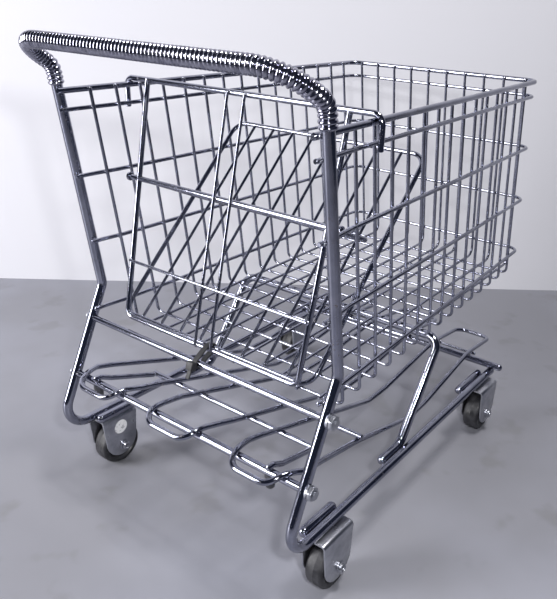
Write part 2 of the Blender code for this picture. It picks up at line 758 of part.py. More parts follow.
def side_rod(name, side, cross_z, chrome):
    """A short rod from over a knob on the rear tube, down to the end of the rear cross wire."""
    tube_x = leg_x(TRAY_TUBE_Z)
    over_rear = TRAY_TUBE_Z + TRAY_TUBE_R + GAP + TRAY_WIRE_R
    end_x = TRAY_ROD_REAR_X - TRAY_WIRE_R - GAP
    bend_x = tube_x + SIDE_ROD_LEVEL
    corners = [
        at(tube_x - TRAY_LEVEL / 2, side * KNOB_Y, over_rear),
        at(bend_x, side * KNOB_Y, over_rear),
        at(bend_x + 2 * SIDE_ROD_DROP, side * KNOB_Y, over_rear - SIDE_ROD_DROP),
        at(end_x, side * SIDE_ROD_END_Y, cross_z),
    ]
    wire(name, rounded(corners, [SIDE_ROD_BEND] * 2), TRAY_WIRE_R, chrome)


def build_tray(chrome):
    centre = [
        (TRAY_REAR_X, TRAY_CENTRE_REAR_Y, TRAY_CORNER),
        (TRAY_CENTRE_WIDE_X, TRAY_CENTRE_WIDE_Y, TRAY_SOFT_BEND),
        (TRAY_CENTRE_TIP_X, TRAY_CENTRE_TIP_Y, TRAY_CORNER),
    ]
    tray_loop("tray_loop_centre", centre + [(x, -y, bend) for x, y, bend in reversed(centre)], chrome)
    for side, word in ((1, "left"), (-1, "right")):
        places = [
            (TRAY_REAR_X, TRAY_INNER_REAR_Y, TRAY_CORNER),
            (TRAY_REAR_X, TRAY_OUTER_REAR_Y, TRAY_CORNER),
            (TRAY_OUTER_X, TRAY_OUTER_Y, TRAY_CORNER),
            (TRAY_WAIST_X, TRAY_WAIST_Y, TRAY_SOFT_BEND),
            (TRAY_TIP_X, TRAY_TIP_OUTER_Y, TRAY_CORNER),
            (TRAY_TIP_X, TRAY_INNER_TIP_Y, TRAY_CORNER),
            (TRAY_INNER_X, TRAY_INNER_Y, TRAY_SOFT_BEND),
        ]
        tray_loop(f"tray_loop_{word}", [(x, side * y, bend) for x, y, bend in places], chrome)
    under = -(2 * TRAY_WIRE_R + GAP)
    over = 2 * TRAY_WIRE_R + GAP
    thin_under = -(TRAY_WIRE_R + TRAY_ROD_FRONT_R + GAP)
    tray_rod("tray_rod_middle", TRAY_ROD_MIDDLE_X, TRAY_ROD_MIDDLE_HALF, TRAY_WIRE_R, over, chrome)
    tray_rod("tray_rod_front", TRAY_ROD_FRONT_X, TRAY_ROD_FRONT_HALF, TRAY_ROD_FRONT_R, thin_under, chrome)
    rear_z = tray_rod("tray_rod_rear", TRAY_ROD_REAR_X, TRAY_ROD_REAR_HALF, TRAY_WIRE_R, under, chrome)
    side_rod("tray_side_rod_left", 1, rear_z, chrome)
    side_rod("tray_side_rod_right", -1, rear_z, chrome)


def build_tie(nylon):
    """A cable tie round the rear rod, the gate's bottom bar and the seat back's bottom bar."""
    bars = (
        (leg_x(REAR_ROD_Z), REAR_ROD_Z, REAR_ROD_R),
        (GATE_BOTTOM_X, GATE_BOTTOM_Z, GATE_WIRE_R),
        (HINGE_X, HINGE_Z, SEAT_WIRE_R),
    )

    def belt(clear):
        ring = []
        for x, z, radius in bars:
            ring += arc(Vector((x, z)), radius + clear, 0, math.tau, 16)[:-1]
        return [ring[index] for index in convex_hull_2d(ring)]

    middle = at(0, TIE_Y, 0)
    stand = Matrix.Translation(middle) @ Matrix.Rotation(math.radians(90), 4, "X")
    band = plate_mesh("gate_tie", [belt(GAP + TIE_BAND), belt(GAP)], TIE_WIDTH)
    band.matrix_world = stand
    rear_x, rear_z, rear_r = bars[0]
    head_at = Vector((rear_x - rear_r - GAP - TIE_BAND - TIE_HEAD / 3, TIE_Y, rear_z))
    head = cylinder_mesh("tie_head", TIE_HEAD / 2, TIE_WIDTH, at(*head_at), Vector((0, 1, 0)), 8)
    tail_end = at(head_at.x - TIE_TAIL / 2, TIE_Y, head_at.z - TIE_TAIL)
    tail = wire_mesh("tie_tail", [at(*head_at), tail_end], TIE_BAND)
    combined("gate_tie", band, [head, tail], nylon)


def main():
    clear_scene()
    chrome = material("chrome_wire", (0.78, 0.79, 0.83), 0.12, 1.0)
    steel = material("plated_steel", (0.60, 0.61, 0.64), 0.28, 1.0)
    plastic = material("grip_sleeve", (0.72, 0.74, 0.78), 0.20, 0.9)
    rubber = material("black_rubber", (0.03, 0.03, 0.035), 0.55, 0.0)
    nylon = material("black_nylon", (0.02, 0.02, 0.02), 0.45, 0.0)

    build_frame(chrome, plastic)
    build_cross_members(chrome, steel)
    for side, word in ((1, "left"), (-1, "right")):
        rear_stub = (REAR_STUB_BACK_X, REAR_STUB_FRONT_X)
        front_stub = (FRONT_STUB_BACK_X, FRONT_STUB_FRONT_X)
        build_caster(f"rear_{word}", REAR_AXLE_X, side, rear_stub, steel, rubber)
        build_caster(f"front_{word}", FRONT_AXLE_X, side, front_stub, steel, rubber)
    for name in HOOPS:
        build_hoop(name, chrome)
    for number in range(RIB_COUNT):
        build_rib(number, chrome)
    for number in range(FLOOR_WIRE_COUNT):
        build_floor_wire(number, chrome)
    build_gate(chrome)
    build_seat(chrome)
    build_tray(chrome)
    build_tie(nylon)


main()
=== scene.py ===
"""Looks of a miniature wire shopping cart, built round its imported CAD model.

Metres, +X towards the front, +Y towards the cart's left, +Z up, as in the CAD. Places along X are
given from a point 5.5 mm behind the rear axles, and MIDDLE_X moves them to the cart's own middle.
Every wire and tube is drawn anew along the same line as its CAD solid, rounder and with its ends,
welds and plating finished.
"""

import math

import bmesh
import bpy
from mathutils import Matrix, Vector


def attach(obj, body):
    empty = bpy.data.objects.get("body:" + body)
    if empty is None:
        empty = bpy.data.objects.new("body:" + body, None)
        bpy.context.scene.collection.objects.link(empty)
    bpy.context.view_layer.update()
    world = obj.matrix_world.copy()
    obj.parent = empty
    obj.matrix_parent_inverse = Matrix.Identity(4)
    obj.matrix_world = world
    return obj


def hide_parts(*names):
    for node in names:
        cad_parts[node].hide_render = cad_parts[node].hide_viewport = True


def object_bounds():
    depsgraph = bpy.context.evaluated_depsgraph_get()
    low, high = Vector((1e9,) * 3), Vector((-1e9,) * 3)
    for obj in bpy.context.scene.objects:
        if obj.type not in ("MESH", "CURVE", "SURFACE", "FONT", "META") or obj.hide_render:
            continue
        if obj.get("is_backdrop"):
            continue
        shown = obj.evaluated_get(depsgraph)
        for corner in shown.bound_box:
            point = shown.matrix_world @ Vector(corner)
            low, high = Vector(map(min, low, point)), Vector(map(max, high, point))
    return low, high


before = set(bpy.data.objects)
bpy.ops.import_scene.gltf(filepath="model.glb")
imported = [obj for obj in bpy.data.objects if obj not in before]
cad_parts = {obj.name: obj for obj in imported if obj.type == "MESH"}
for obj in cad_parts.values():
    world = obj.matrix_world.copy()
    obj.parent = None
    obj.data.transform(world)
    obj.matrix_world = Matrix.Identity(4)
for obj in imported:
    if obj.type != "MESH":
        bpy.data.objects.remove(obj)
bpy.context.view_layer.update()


# Frame tube
# One chrome-plated steel tube bent into the handle, the two legs and the two side tubes on which
# the casters sit. Above the rim it sweeps back. Its front ends are cut square and left open.
MIDDLE_X = 0.1190441
GAP = 0.0003
TUBE_R = 0.0030
FRAME_HALF_WIDTH = 0.090
SIDE_TUBE_Z = 0.0423
FRAME_FRONT_X = 0.222
REAR_CORNER = (-0.0366, 0.014)
KINK = (0.0044, 0.1324, 0.008)
UPRIGHT_LEAN = 0.15
SWEEP = (0.2635, 0.0080)
HANDLE_X = -0.0370
HANDLE_Z = 0.2775
HANDLE_BEND = 0.0215
BEND_STEP = math.radians(7)
OPEN_END = ((0, 1), (0.03, 0.96), (0.03, 0.80), (-3.0, 0.80))
FRAME_SIDES = 28
TUBE_SIDES = 24
WIRE_SIDES = 16
THIN_SIDES = 12
CHROME_BRIGHT = (0.36, 0.37, 0.44)
CHROME_SHADE = (0.23, 0.24, 0.30)
CHROME_SPOT = (0.20, 0.175, 0.165)


def at(x, y, z):
    """A point of the cart in the CAD's frame."""
    return Vector((x - MIDDLE_X, y, z))


def leg_x(z):
    """The frame tube's centre line behind the basket, at a height."""
    if z >= KINK[1]:
        return KINK[0] - UPRIGHT_LEAN * (z - KINK[1])
    slope = (KINK[0] - REAR_CORNER[0]) / (KINK[1] - SIDE_TUBE_Z)
    return REAR_CORNER[0] + slope * (z - SIDE_TUBE_Z)


def bent(corners, radii):
    """The line through the corners, with each inner corner bent to its radius."""
    line = [corners[0]]
    for before, corner, after, radius in zip(corners, corners[1:], corners[2:], radii):
        into = (corner - before).normalized()
        out = (after - corner).normalized()
        turn = into.angle(out)
        start = corner - into * radius * math.tan(turn / 2)
        centre = corner + (out - into).normalized() * radius / math.cos(turn / 2)
        steps = max(2, math.ceil(turn / BEND_STEP))
        for step in range(steps + 1):
            swing = Matrix.Rotation(turn * step / steps, 3, into.cross(out))
            line.append(centre + swing @ (start - centre))
    return line + [corners[-1]]


def both_sides(points):
    """Points down one side of the cart, then the same ones back up the other side."""
    return points + [Vector((p.x, -p.y, p.z)) for p in reversed(points)]


def sweep(shape, line, radius, sides, tip=((0, 1),), closed=False, up=None):
    """Extrudes a ring along the line, closed at its ends by rings given in radii: how far out, how wide.

    The radius is one number, or one for each point of the line.
    """
    radii = radius if isinstance(radius, list) else [radius] * len(line)
    rings = []
    side = None
    for k, point in enumerate(line):
        before = line[k - 1] if k or closed else point
        after = line[(k + 1) % len(line)] if k < len(line) - 1 or closed else point
        along = (after - before).normalized()
        if up is not None:
            side = along.cross(up).normalized()
        elif side is None:
            side = along.orthogonal().normalized()
        else:
            side = (side - along * side.dot(along)).normalized()
        turn = Matrix((side, along.cross(side), along)).transposed().to_4x4()
        if closed or 0 < k < len(line) - 1:
            rings.append(Matrix.Translation(point) @ turn @ Matrix.Scale(radii[k], 4))
            continue
        way = 1 if k else -1
        ends = tip if k else reversed(tip)
        for out, width in ends:
            spot = point + along * way * out * radii[k]
            rings.append(Matrix.Translation(spot) @ turn @ Matrix.Scale(radii[k] * width, 4))
    verts = bmesh.ops.create_circle(shape, segments=sides, radius=1, matrix=rings[0])["verts"]
    first = edges = list({edge for vert in verts for edge in vert.link_edges})
    for before, after in zip(rings, rings[1:]):
        grown = bmesh.ops.extrude_edge_only(shape, edges=edges)["geom"]
        verts = [item for item in grown if isinstance(item, bmesh.types.BMVert)]
        bmesh.ops.transform(shape, matrix=after @ before.inverted(), verts=verts)
        kept = set(verts)
        edges = [item for item in grown if isinstance(item, bmesh.types.BMEdge)]
        edges = [edge for edge in edges if kept.issuperset(edge.verts)]
    if closed:
        bmesh.ops.bridge_loops(shape, edges=first + edges)
    else:
        bmesh.ops.edgeloop_fill(shape, edges=first)
        bmesh.ops.edgeloop_fill(shape, edges=edges)


def set_piece(name, shape, look, body, nodes, sharp=40):
    """Makes the shape a piece that rides on a body and stands for its CAD nodes."""
    bmesh.ops.recalc_face_normals(shape, faces=shape.faces)
    mesh = bpy.data.meshes.new(name)
    shape.to_mesh(mesh)
    shape.free()
    mesh.shade_smooth()
    mesh.set_sharp_from_angle(angle=math.radians(sharp))
    mesh.materials.append(look)
    piece = bpy.data.objects.new(name, mesh)
    bpy.context.scene.collection.objects.link(piece)
    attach(piece, body)
    if nodes:
        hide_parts(*nodes)


class Wire:
    """A shader socket that takes part in sums, so that a formula adds its Math nodes."""

    def __init__(self, tree, socket):
        self.tree = tree
        self.socket = socket

    def math(self, operation, *values):
        return self.tree.node("ShaderNodeMath", {"operation": operation}, dict(enumerate(values)))

    def __add__(self, other):
        return self.math("ADD", self, other)

    def __sub__(self, other):
        return self.math("SUBTRACT", self, other)

    def __mul__(self, other):
        return self.math("MULTIPLY", self, other)

    def above(self, edge, soft):
        """0 below the edge and 1 above it, with a soft step between."""
        values = {"Value": self, "From Min": edge - soft, "From Max": edge + soft}
        return self.tree.node("ShaderNodeMapRange", {"interpolation_type": "SMOOTHSTEP"}, values)


class Look:
    """A material's node tree, with one method that adds any node."""

    def __init__(self, name):
        self.material = bpy.data.materials.new(name)
        self.material.use_nodes = True
        self.shader = self.material.node_tree.nodes["Principled BSDF"]
        self.spot = self.node("ShaderNodeTexCoord", {}, {}, "Object")

    def node(self, kind, settings, values, output=0):
        made = self.material.node_tree.nodes.new(kind)
        for key, value in settings.items():
            setattr(made, key, value)
        for key, value in values.items():
            if isinstance(value, Wire):
                self.material.node_tree.links.new(value.socket, made.inputs[key])
            else:
                made.inputs[key].default_value = value
        return Wire(self, made.outputs[output])

    def noise(self, scale, detail=3.0, roughness=0.55, stretch=None):
        place = self.spot
        if stretch is not None:
            place = self.node("ShaderNodeMapping", {}, {"Vector": place, "Scale": stretch})
        values = {"Vector": place, "Scale": scale, "Detail": detail, "Roughness": roughness}
        return self.node("ShaderNodeTexNoise", {}, values)

    def mix(self, share, first, second):
        """A colour between two, by a share that may vary. Inputs 6 and 7 and output 2 are the colours."""
        ends = [(*colour, 1) if isinstance(colour, tuple) else colour for colour in (first, second)]
        return self.node("ShaderNodeMix", {"data_type": "RGBA"}, {0: share, 6: ends[0], 7: ends[1]}, 2)

    def set(self, **values):
        for key, value in values.items():
            socket = self.shader.inputs[key.replace("_", " ")]
            if isinstance(value, Wire):
                self.material.node_tree.links.new(value.socket, socket)
            else:
                socket.default_value = (*value, 1) if isinstance(value, tuple) else value

    def bump(self, height, distance, strength=1.0):
        values = {"Height": height, "Distance": distance, "Strength": strength}
        self.set(Normal=self.node("ShaderNodeBump", {}, values))


def chrome_look(name, bright, shade, smooth, dull):
    """Bright plating: slow changes of tint, a light ripple, and faint dull spots and specks."""
    look = Look(name)
    cloud = look.noise(55, 3)
    spots = look.noise(420, 2).above(0.66, 0.035) * look.noise(90, 2).above(0.52, 0.10)
    specks = look.noise(1500, 1).above(0.70, 0.03) * look.noise(130, 2).above(0.50, 0.08)
    worn = spots * 0.6 + specks * 0.6
    tint = look.mix(cloud.above(0.5, 0.25), bright, shade)
    look.set(Base_Color=look.mix(worn, tint, CHROME_SPOT), Metallic=1.0)
    look.set(Roughness=worn * dull + cloud * 0.08 + smooth)
    look.bump(look.noise(700, 2) * 0.5 + look.noise(160, 2) - worn * 0.4, 0.00003, 0.6)
    return look.material


chrome = chrome_look("chrome_wire", CHROME_BRIGHT, CHROME_SHADE, 0.06, 0.35)

frame_side = [
    at(FRAME_FRONT_X, FRAME_HALF_WIDTH, SIDE_TUBE_Z),
    at(REAR_CORNER[0], FRAME_HALF_WIDTH, SIDE_TUBE_Z),
    at(KINK[0], FRAME_HALF_WIDTH, KINK[1]),
    at(leg_x(SWEEP[0]), FRAME_HALF_WIDTH, SWEEP[0]),
    at(HANDLE_X, FRAME_HALF_WIDTH, HANDLE_Z),
]
frame_bends = [REAR_CORNER[1], KINK[2], SWEEP[1], HANDLE_BEND]
shape = bmesh.new()
sweep(shape, bent(both_sides(frame_side), frame_bends + frame_bends[::-1]), TUBE_R, FRAME_SIDES, OPEN_END)
set_piece("frame_bent_tube", shape, chrome, "cart", ["frame_tube"])


# Handle sleeve
# A bright close-ribbed sleeve pushed over the handle and its two bends, with random patches of grime over
# it.
SLEEVE_R = 0.0043
SLEEVE_GROOVE_R = 0.0034
SLEEVE_PITCH = 0.0024
SLEEVE_END_Z = 0.2533
RIB_PROFILE = (0.0, 0.55, 0.88, 1.0, 0.88, 0.55)
SLEEVE_SIDES = 20
SLEEVE_TIP = ((0, 1), (0.05, 0.82))
SLEEVE_BRIGHT = (0.36, 0.36, 0.43)
SLEEVE_GRIME = (0.22, 0.22, 0.28)

sleeve = Look("grip_sleeve")
film = sleeve.noise(260, 3)
sleeve.set(Base_Color=sleeve.mix(film.above(0.55, 0.12), SLEEVE_BRIGHT, SLEEVE_GRIME), Metallic=1.0)
sleeve.set(Roughness=film * 0.14 + 0.06)
sleeve.bump(sleeve.noise(900, 2), 0.00003, 0.5)

handle_corners = both_sides([
    at(leg_x(SLEEVE_END_Z), FRAME_HALF_WIDTH, SLEEVE_END_Z),
    at(leg_x(SWEEP[0]), FRAME_HALF_WIDTH, SWEEP[0]),
    at(HANDLE_X, FRAME_HALF_WIDTH, HANDLE_Z),
])
rough_line = bent(handle_corners, [SWEEP[1], HANDLE_BEND, HANDLE_BEND, SWEEP[1]])
pace = SLEEVE_PITCH / len(RIB_PROFILE)
line = []
left = 0.0
for start, end in zip(rough_line, rough_line[1:]):
    run = (end - start).length
    while left < run:
        line.append(start.lerp(end, left / run))
        left += pace
    left -= run
depth = SLEEVE_R - SLEEVE_GROOVE_R
swell = [SLEEVE_GROOVE_R + depth * RIB_PROFILE[k % len(RIB_PROFILE)] for k in range(len(line))]
shape = bmesh.new()
sweep(shape, line, swell, SLEEVE_SIDES, SLEEVE_TIP)
set_piece("grip_ribbed_sleeve", shape, sleeve.material, "cart", ["handle_grip"], 60)


# Cross rods and their nuts
# Two rods go through the legs: peened over on the left leg, held by a plated nut on the right one.
# The lower rod is thicker, and the tray's wires hang on it. Two short dark pegs are fixed under it.
REAR_ROD = (0.1122, 0.0020)
TRAY_ROD = (0.079, 0.0023)
NUT_ACROSS = 0.0070
NUT_THICK = 0.0030
WASHER_R = 0.0039
WASHER_THICK = 0.0005
BOLT_OUT = 0.0012
PEENED = ((-0.0008, 0), (-0.0008, 0.0024), (0.0001, 0.0024), (0.0005, 0.0017), (0.0007, 0.0008), (0.0007, 0))
PEG_Y = 0.0685
PEG_R = 0.0030
PEG_LENGTH = 0.0078
PEG_PROFILE = ((0, 0), (0, 1), (0.30, 1), (0.36, 0.86), (0.88, 0.86), (0.97, 0.70), (1, 0.45), (1, 0))
NUT_CHAMFER = 0.0004
WASHER_SINK = 0.0006
THREAD_STEPS = 8
THREAD_DEPTH = 0.1
SAME_SPOT = 0.000002
STEEL_BRIGHT = (0.50, 0.51, 0.55)
STEEL_SHADE = (0.36, 0.37, 0.41)
PEG_DARK = (0.05, 0.05, 0.055)
PEG_WORN = (0.11, 0.11, 0.12)


def turned(shape, profile, centre, axis, steps):
    """Spins a profile of (along, out) places round the axis through the centre."""
    turn = axis.to_track_quat("Z", "Y").to_matrix()
    verts = [shape.verts.new(centre + turn @ Vector((out, 0, along))) for along, out in profile]
    edges = [shape.edges.new(pair) for pair in zip(verts, verts[1:])]
    bmesh.ops.spin(
        shape, geom=verts + edges, cent=centre, axis=axis, dvec=(0, 0, 0),
        angle=math.tau, steps=steps, use_merge=True,
    )
    bmesh.ops.remove_doubles(shape, verts=shape.verts, dist=SAME_SPOT)


def hex_nut(shape, centre, axis):
    """A six-sided nut with its corners taken off."""
    turn = axis.to_track_quat("Z", "Y").to_matrix().to_4x4()
    width = NUT_ACROSS / math.cos(math.pi / 6) / 2
    made = bmesh.ops.create_cone(
        shape, cap_ends=True, segments=6, radius1=width, radius2=width, depth=NUT_THICK - WASHER_THICK,
        matrix=Matrix.Translation(centre) @ turn,
    )["verts"]
    edges = list({edge for vert in made for edge in vert.link_edges})
    bmesh.ops.bevel(
        shape, geom=edges, offset=NUT_CHAMFER, affect="EDGES", segments=3, profile=0.5, material=-1,
    )


steel = Look("plated_steel")
haze = steel.noise(120, 4)
grain = steel.noise(900, 2, 0.5, (1, 1, 0.25))
marks = steel.noise(240, 3).above(0.62, 0.05)
steel.set(Base_Color=steel.mix(haze.above(0.5, 0.2), STEEL_BRIGHT, STEEL_SHADE), Metallic=1.0)
steel.set(Roughness=haze * 0.22 + marks * 0.12 + 0.20)
steel.bump(grain * 0.6 + haze - marks * 0.5, 0.00004, 0.7)

out_y = Vector((0, 1, 0))
shape = bmesh.new()
reach = FRAME_HALF_WIDTH - TUBE_R / 2
for z, radius in (REAR_ROD, TRAY_ROD):
    sweep(shape, [at(leg_x(z), reach, z), at(leg_x(z), -reach, z)], radius, TUBE_SIDES)
set_piece("cross_rods", shape, chrome, "cart", ["rear_cross_rod"])

peg_look = Look("dark_peg")
peg_look.set(Base_Color=peg_look.mix(peg_look.noise(300, 3), PEG_DARK, PEG_WORN))
peg_look.set(Roughness=peg_look.noise(500, 2) * 0.3 + 0.25, Metallic=0.6)
shape = bmesh.new()
peg_top = TRAY_ROD[0] - TRAY_ROD[1] / 2
profile = [(PEG_LENGTH * along, PEG_R * out) for along, out in PEG_PROFILE]
for side in (1, -1):
    turned(shape, profile, at(leg_x(TRAY_ROD[0]), side * PEG_Y, peg_top), Vector((0, 0, -1)), 24)
set_piece("tray_pegs", shape, peg_look.material, "cart", ["tray_rear_tube"])

shape = bmesh.new()
for z, radius in (REAR_ROD, TRAY_ROD):
    for side in (1, -1):
        axis = out_y * side
        face = at(leg_x(z), side * (FRAME_HALF_WIDTH + TUBE_R + GAP), z)
        if side > 0:
            turned(shape, PEENED, face, axis, 24)
            continue
        washer = [(-WASHER_SINK, 0), (-WASHER_SINK, WASHER_R), (WASHER_THICK, WASHER_R), (WASHER_THICK, 0)]
        turned(shape, washer, face, axis, 28)
        hex_nut(shape, face + axis * (WASHER_THICK + NUT_THICK) / 2, axis)
        thread = [
            (NUT_THICK + step * BOLT_OUT / THREAD_STEPS, radius * (1 - THREAD_DEPTH * (step % 2)))
            for step in range(THREAD_STEPS + 1)
        ]
        turned(shape, [(0.0, 0.0)] + thread + [(NUT_THICK + BOLT_OUT, 0)], face, axis, 20)
nuts = ["rod_nut_left", "rod_nut_right", "tray_nut_left", "tray_nut_right"]
set_piece("nuts_and_washers", shape, steel.material, "cart", nuts, 30)


# Front cross tube
# A plain tube laid over the side tubes behind the front casters, with its ends closed and rounded.
FRONT_TUBE_X = 0.220
FRONT_TUBE_R = 0.0027
FRONT_TUBE_HALF = 0.0995
FRONT_TUBE_Z = 0.0481
DOMED_END = ((-0.9, 1), (-0.45, 0.89), (-0.13, 0.62), (0, 0.25))

shape = bmesh.new()
ends = [at(FRONT_TUBE_X, FRONT_TUBE_HALF, FRONT_TUBE_Z), at(FRONT_TUBE_X, -FRONT_TUBE_HALF, FRONT_TUBE_Z)]
sweep(shape, ends, FRONT_TUBE_R, TUBE_SIDES, DOMED_END)
set_piece("front_tube_domed", shape, chrome, "cart", ["front_cross_tube"])


# Basket strut
# A second bent tube, welded flat inside the side tubes, that rises to carry the basket's floor.
# Its two feet are closed and rounded like the ends of the front cross tube.
STRUT_FOOT_X = 0.067
STRUT_RISE_X = 0.091
STRUT_BAR_X = 0.133
STRUT_BAR_Z = 0.1019644
STRUT_BEND = 0.009
INNER_Y = FRAME_HALF_WIDTH - 2 * TUBE_R - GAP

strut_side = [
    at(STRUT_FOOT_X, INNER_Y, SIDE_TUBE_Z),
    at(STRUT_RISE_X, INNER_Y, SIDE_TUBE_Z),
    at(STRUT_BAR_X, INNER_Y, STRUT_BAR_Z),
]
shape = bmesh.new()
sweep(shape, bent(both_sides(strut_side), [STRUT_BEND] * 4), TUBE_R, TUBE_SIDES, DOMED_END)
set_piece("strut_bent_tube", shape, chrome, "cart", ["basket_strut"])


# Casters
# Fixed casters: a plated sheet-metal fork folded over the wheel, a riveted axle with a washer under
# its head, a short tube with closed ends that ties the fork to the frame, and a black rubber wheel.
AXLE_X = {"rear": 0.0055, "front": 0.2060}
WHEEL_R = 0.0145
FORK_TOP = SIDE_TUBE_Z - TUBE_R - GAP - WHEEL_R
FORK_HALF = 0.0082
FORK_SHEET = 0.0012
FORK_BEND = 0.0026
FORK_BACK = -0.0155
FORK_FRONT = 0.0115
TOE = (-0.0015, 0.0055, 0.0120)
STUB = {"rear": (-0.0125, 0.018), "front": (0.176, 0.2145)}
TOE_STEPS = 16
FORK_SEAM = 0.00002
FORK_EDGE = 0.00016
FORK_EDGE_ANGLE = math.radians(50)
AXLE_HEAD = (
    (-0.0002, 0.0015), (-0.0002, 0.0039), (0.0005, 0.0039), (0.0007, 0.0036),
    (0.0007, 0.0030), (0.0021, 0.0029), (0.0026, 0.0024), (0.0026, 0.0017),
    (0.0020, 0.0014), (0.0021, 0.0007), (0.0028, 0.0005), (0.0029, 0.0),
)
WHEEL_STEPS = 64
RUBBER_BLACK = (0.010, 0.010, 0.012)
RUBBER_DUST = (0.045, 0.045, 0.052)


def build_fork(shape, axle):
    """One cheek of the fork with its round toe, folded over at the shoulder and mirrored."""
    shoulder = FORK_TOP - FORK_BEND
    toe_x, toe_z, toe_r = TOE
    arc = [math.pi * (1 + step / TOE_STEPS) for step in range(TOE_STEPS + 1)]
    outline = [(FORK_FRONT, shoulder), (FORK_BACK, shoulder)]
    outline += [(toe_x + toe_r * math.cos(a), toe_z + toe_r * math.sin(a)) for a in arc]
    verts = [shape.verts.new((x, FORK_HALF, z)) for x, z in outline]
    cheek = shape.faces.new(verts)
    top = [edge for edge in cheek.edges if {verts[0], verts[1]} == set(edge.verts)]
    fold = bmesh.ops.spin(
        shape, geom=top, cent=(0, FORK_HALF - FORK_BEND, shoulder), axis=(1, 0, 0), dvec=(0, 0, 0),
        angle=math.pi / 2, steps=6, use_duplicate=False,
    )["geom_last"]
    last = [item for item in fold if isinstance(item, bmesh.types.BMEdge)]
    roof = bmesh.ops.extrude_edge_only(shape, edges=last)["geom"]
    moved = [item for item in roof if isinstance(item, bmesh.types.BMVert)]
    for vert in moved:
        vert.co.y = 0
    cheek_parts = list(shape.verts) + list(shape.edges) + list(shape.faces)
    bmesh.ops.mirror(shape, geom=cheek_parts, merge_dist=FORK_SEAM, axis="Y")
    bmesh.ops.remove_doubles(shape, verts=shape.verts, dist=FORK_SEAM)
    bmesh.ops.recalc_face_normals(shape, faces=shape.faces)
    bmesh.ops.solidify(shape, geom=list(shape.faces), thickness=FORK_SHEET)
    rim = [edge for edge in shape.edges if edge.is_manifold and edge.calc_face_angle() > FORK_EDGE_ANGLE]
    bmesh.ops.bevel(
        shape, geom=rim, offset=FORK_EDGE, affect="EDGES", segments=2, profile=0.5, material=-1,
    )
    bmesh.ops.translate(shape, verts=shape.verts, vec=axle)


def build_axle(shape, axle):
    """The axle pin with a washer and a round riveted head on each cheek."""
    head = [(0.0, 0.0)] + [(FORK_HALF + out, radius) for out, radius in AXLE_HEAD]
    for side in (1, -1):
        turned(shape, head, axle, out_y * side, 24)


def build_wheel(shape, axle):
    """Half of the tyre and hub section, spun round the axle and mirrored."""
    tread = WHEEL_R
    section = [
        (0.0, 0.0018), (0.0063, 0.0018), (0.0065, 0.0021), (0.0065, 0.0040), (0.0062, 0.0044),
        (0.0050, 0.0046), (0.0046, 0.0050), (0.0046, 0.0098), (0.0050, 0.0103), (0.0057, 0.0107),
        (0.0060, 0.0112), (0.0059, tread - 0.0018),
        (0.0054, tread - 0.0009), (0.0045, tread - 0.0003), (0.0036, tread - 0.0001),
        (0.0004, tread - 0.0001), (0.0002, tread), (0, tread),
    ]
    for side in (1, -1):
        turned(shape, section, axle, out_y * side, WHEEL_STEPS)


rubber = Look("black_rubber")
dust = rubber.noise(150, 4).above(0.50, 0.14)
scuff = rubber.noise(700, 3).above(0.60, 0.06)
rubber.set(Base_Color=rubber.mix(dust * 0.55 + scuff * 0.25, RUBBER_BLACK, RUBBER_DUST))
rubber.set(Roughness=dust * 0.22 + 0.36)
rubber.bump(rubber.noise(1100, 2) * 0.5 + rubber.noise(200, 3), 0.00006, 0.5)

corners = [(end, word, side) for end in ("rear", "front") for word, side in (("left", 1), ("right", -1))]
for end, word, side in corners:
    axle = at(AXLE_X[end], side * FRAME_HALF_WIDTH, WHEEL_R)
    shape = bmesh.new()
    build_fork(shape, axle)
    build_axle(shape, axle)
    fork_nodes = [f"caster_bracket_{end}_{word}"]
    set_piece(f"fork_{end}_{word}", shape, steel.material, "cart", fork_nodes, 35)
    shape = bmesh.new()
    stub_z = SIDE_TUBE_Z - GAP
    sweep(shape, [at(x, side * INNER_Y, stub_z) for x in STUB[end]], TUBE_R, TUBE_SIDES, DOMED_END)
    set_piece(f"stub_{end}_{word}", shape, chrome, "cart", [])
    shape = bmesh.new()
    build_wheel(shape, axle)
    wheel = f"wheel_{end}_{word}"
    set_piece(f"tyre_{end}_{word}", shape, rubber.material, wheel, [wheel], 50)


# Sticker on the rear left caster
# A round white paper label with nothing on it but grey dirt, stuck on the inner cheek of the fork.
LABEL_R = 0.0050
LABEL_PLACE = (0.0035, 0.0300)
LABEL_THICK = 0.00012
LABEL_EDGE = 0.00005
PAPER_WHITE = (0.88, 0.88, 0.88)
PAPER_DIRT = (0.33, 0.33, 0.36)

label = Look("paper_label")
dirt = label.noise(420, 4, 0.65).above(0.56, 0.08)
label.set(Base_Color=label.mix(dirt * 0.8, PAPER_WHITE, PAPER_DIRT), Roughness=0.62)
label.bump(label.noise(800, 2), 0.00004, 0.5)
face_y = FRAME_HALF_WIDTH - FORK_HALF
shape = bmesh.new()
centre = at(LABEL_PLACE[0], face_y, LABEL_PLACE[1])
paper = [(0, 0), (0, LABEL_R), (LABEL_THICK, LABEL_R - LABEL_EDGE), (LABEL_THICK, 0)]
turned(shape, paper, centre, Vector((0, -1, 0)), 40)
set_piece("caster_label", shape, label.material, "cart", [])


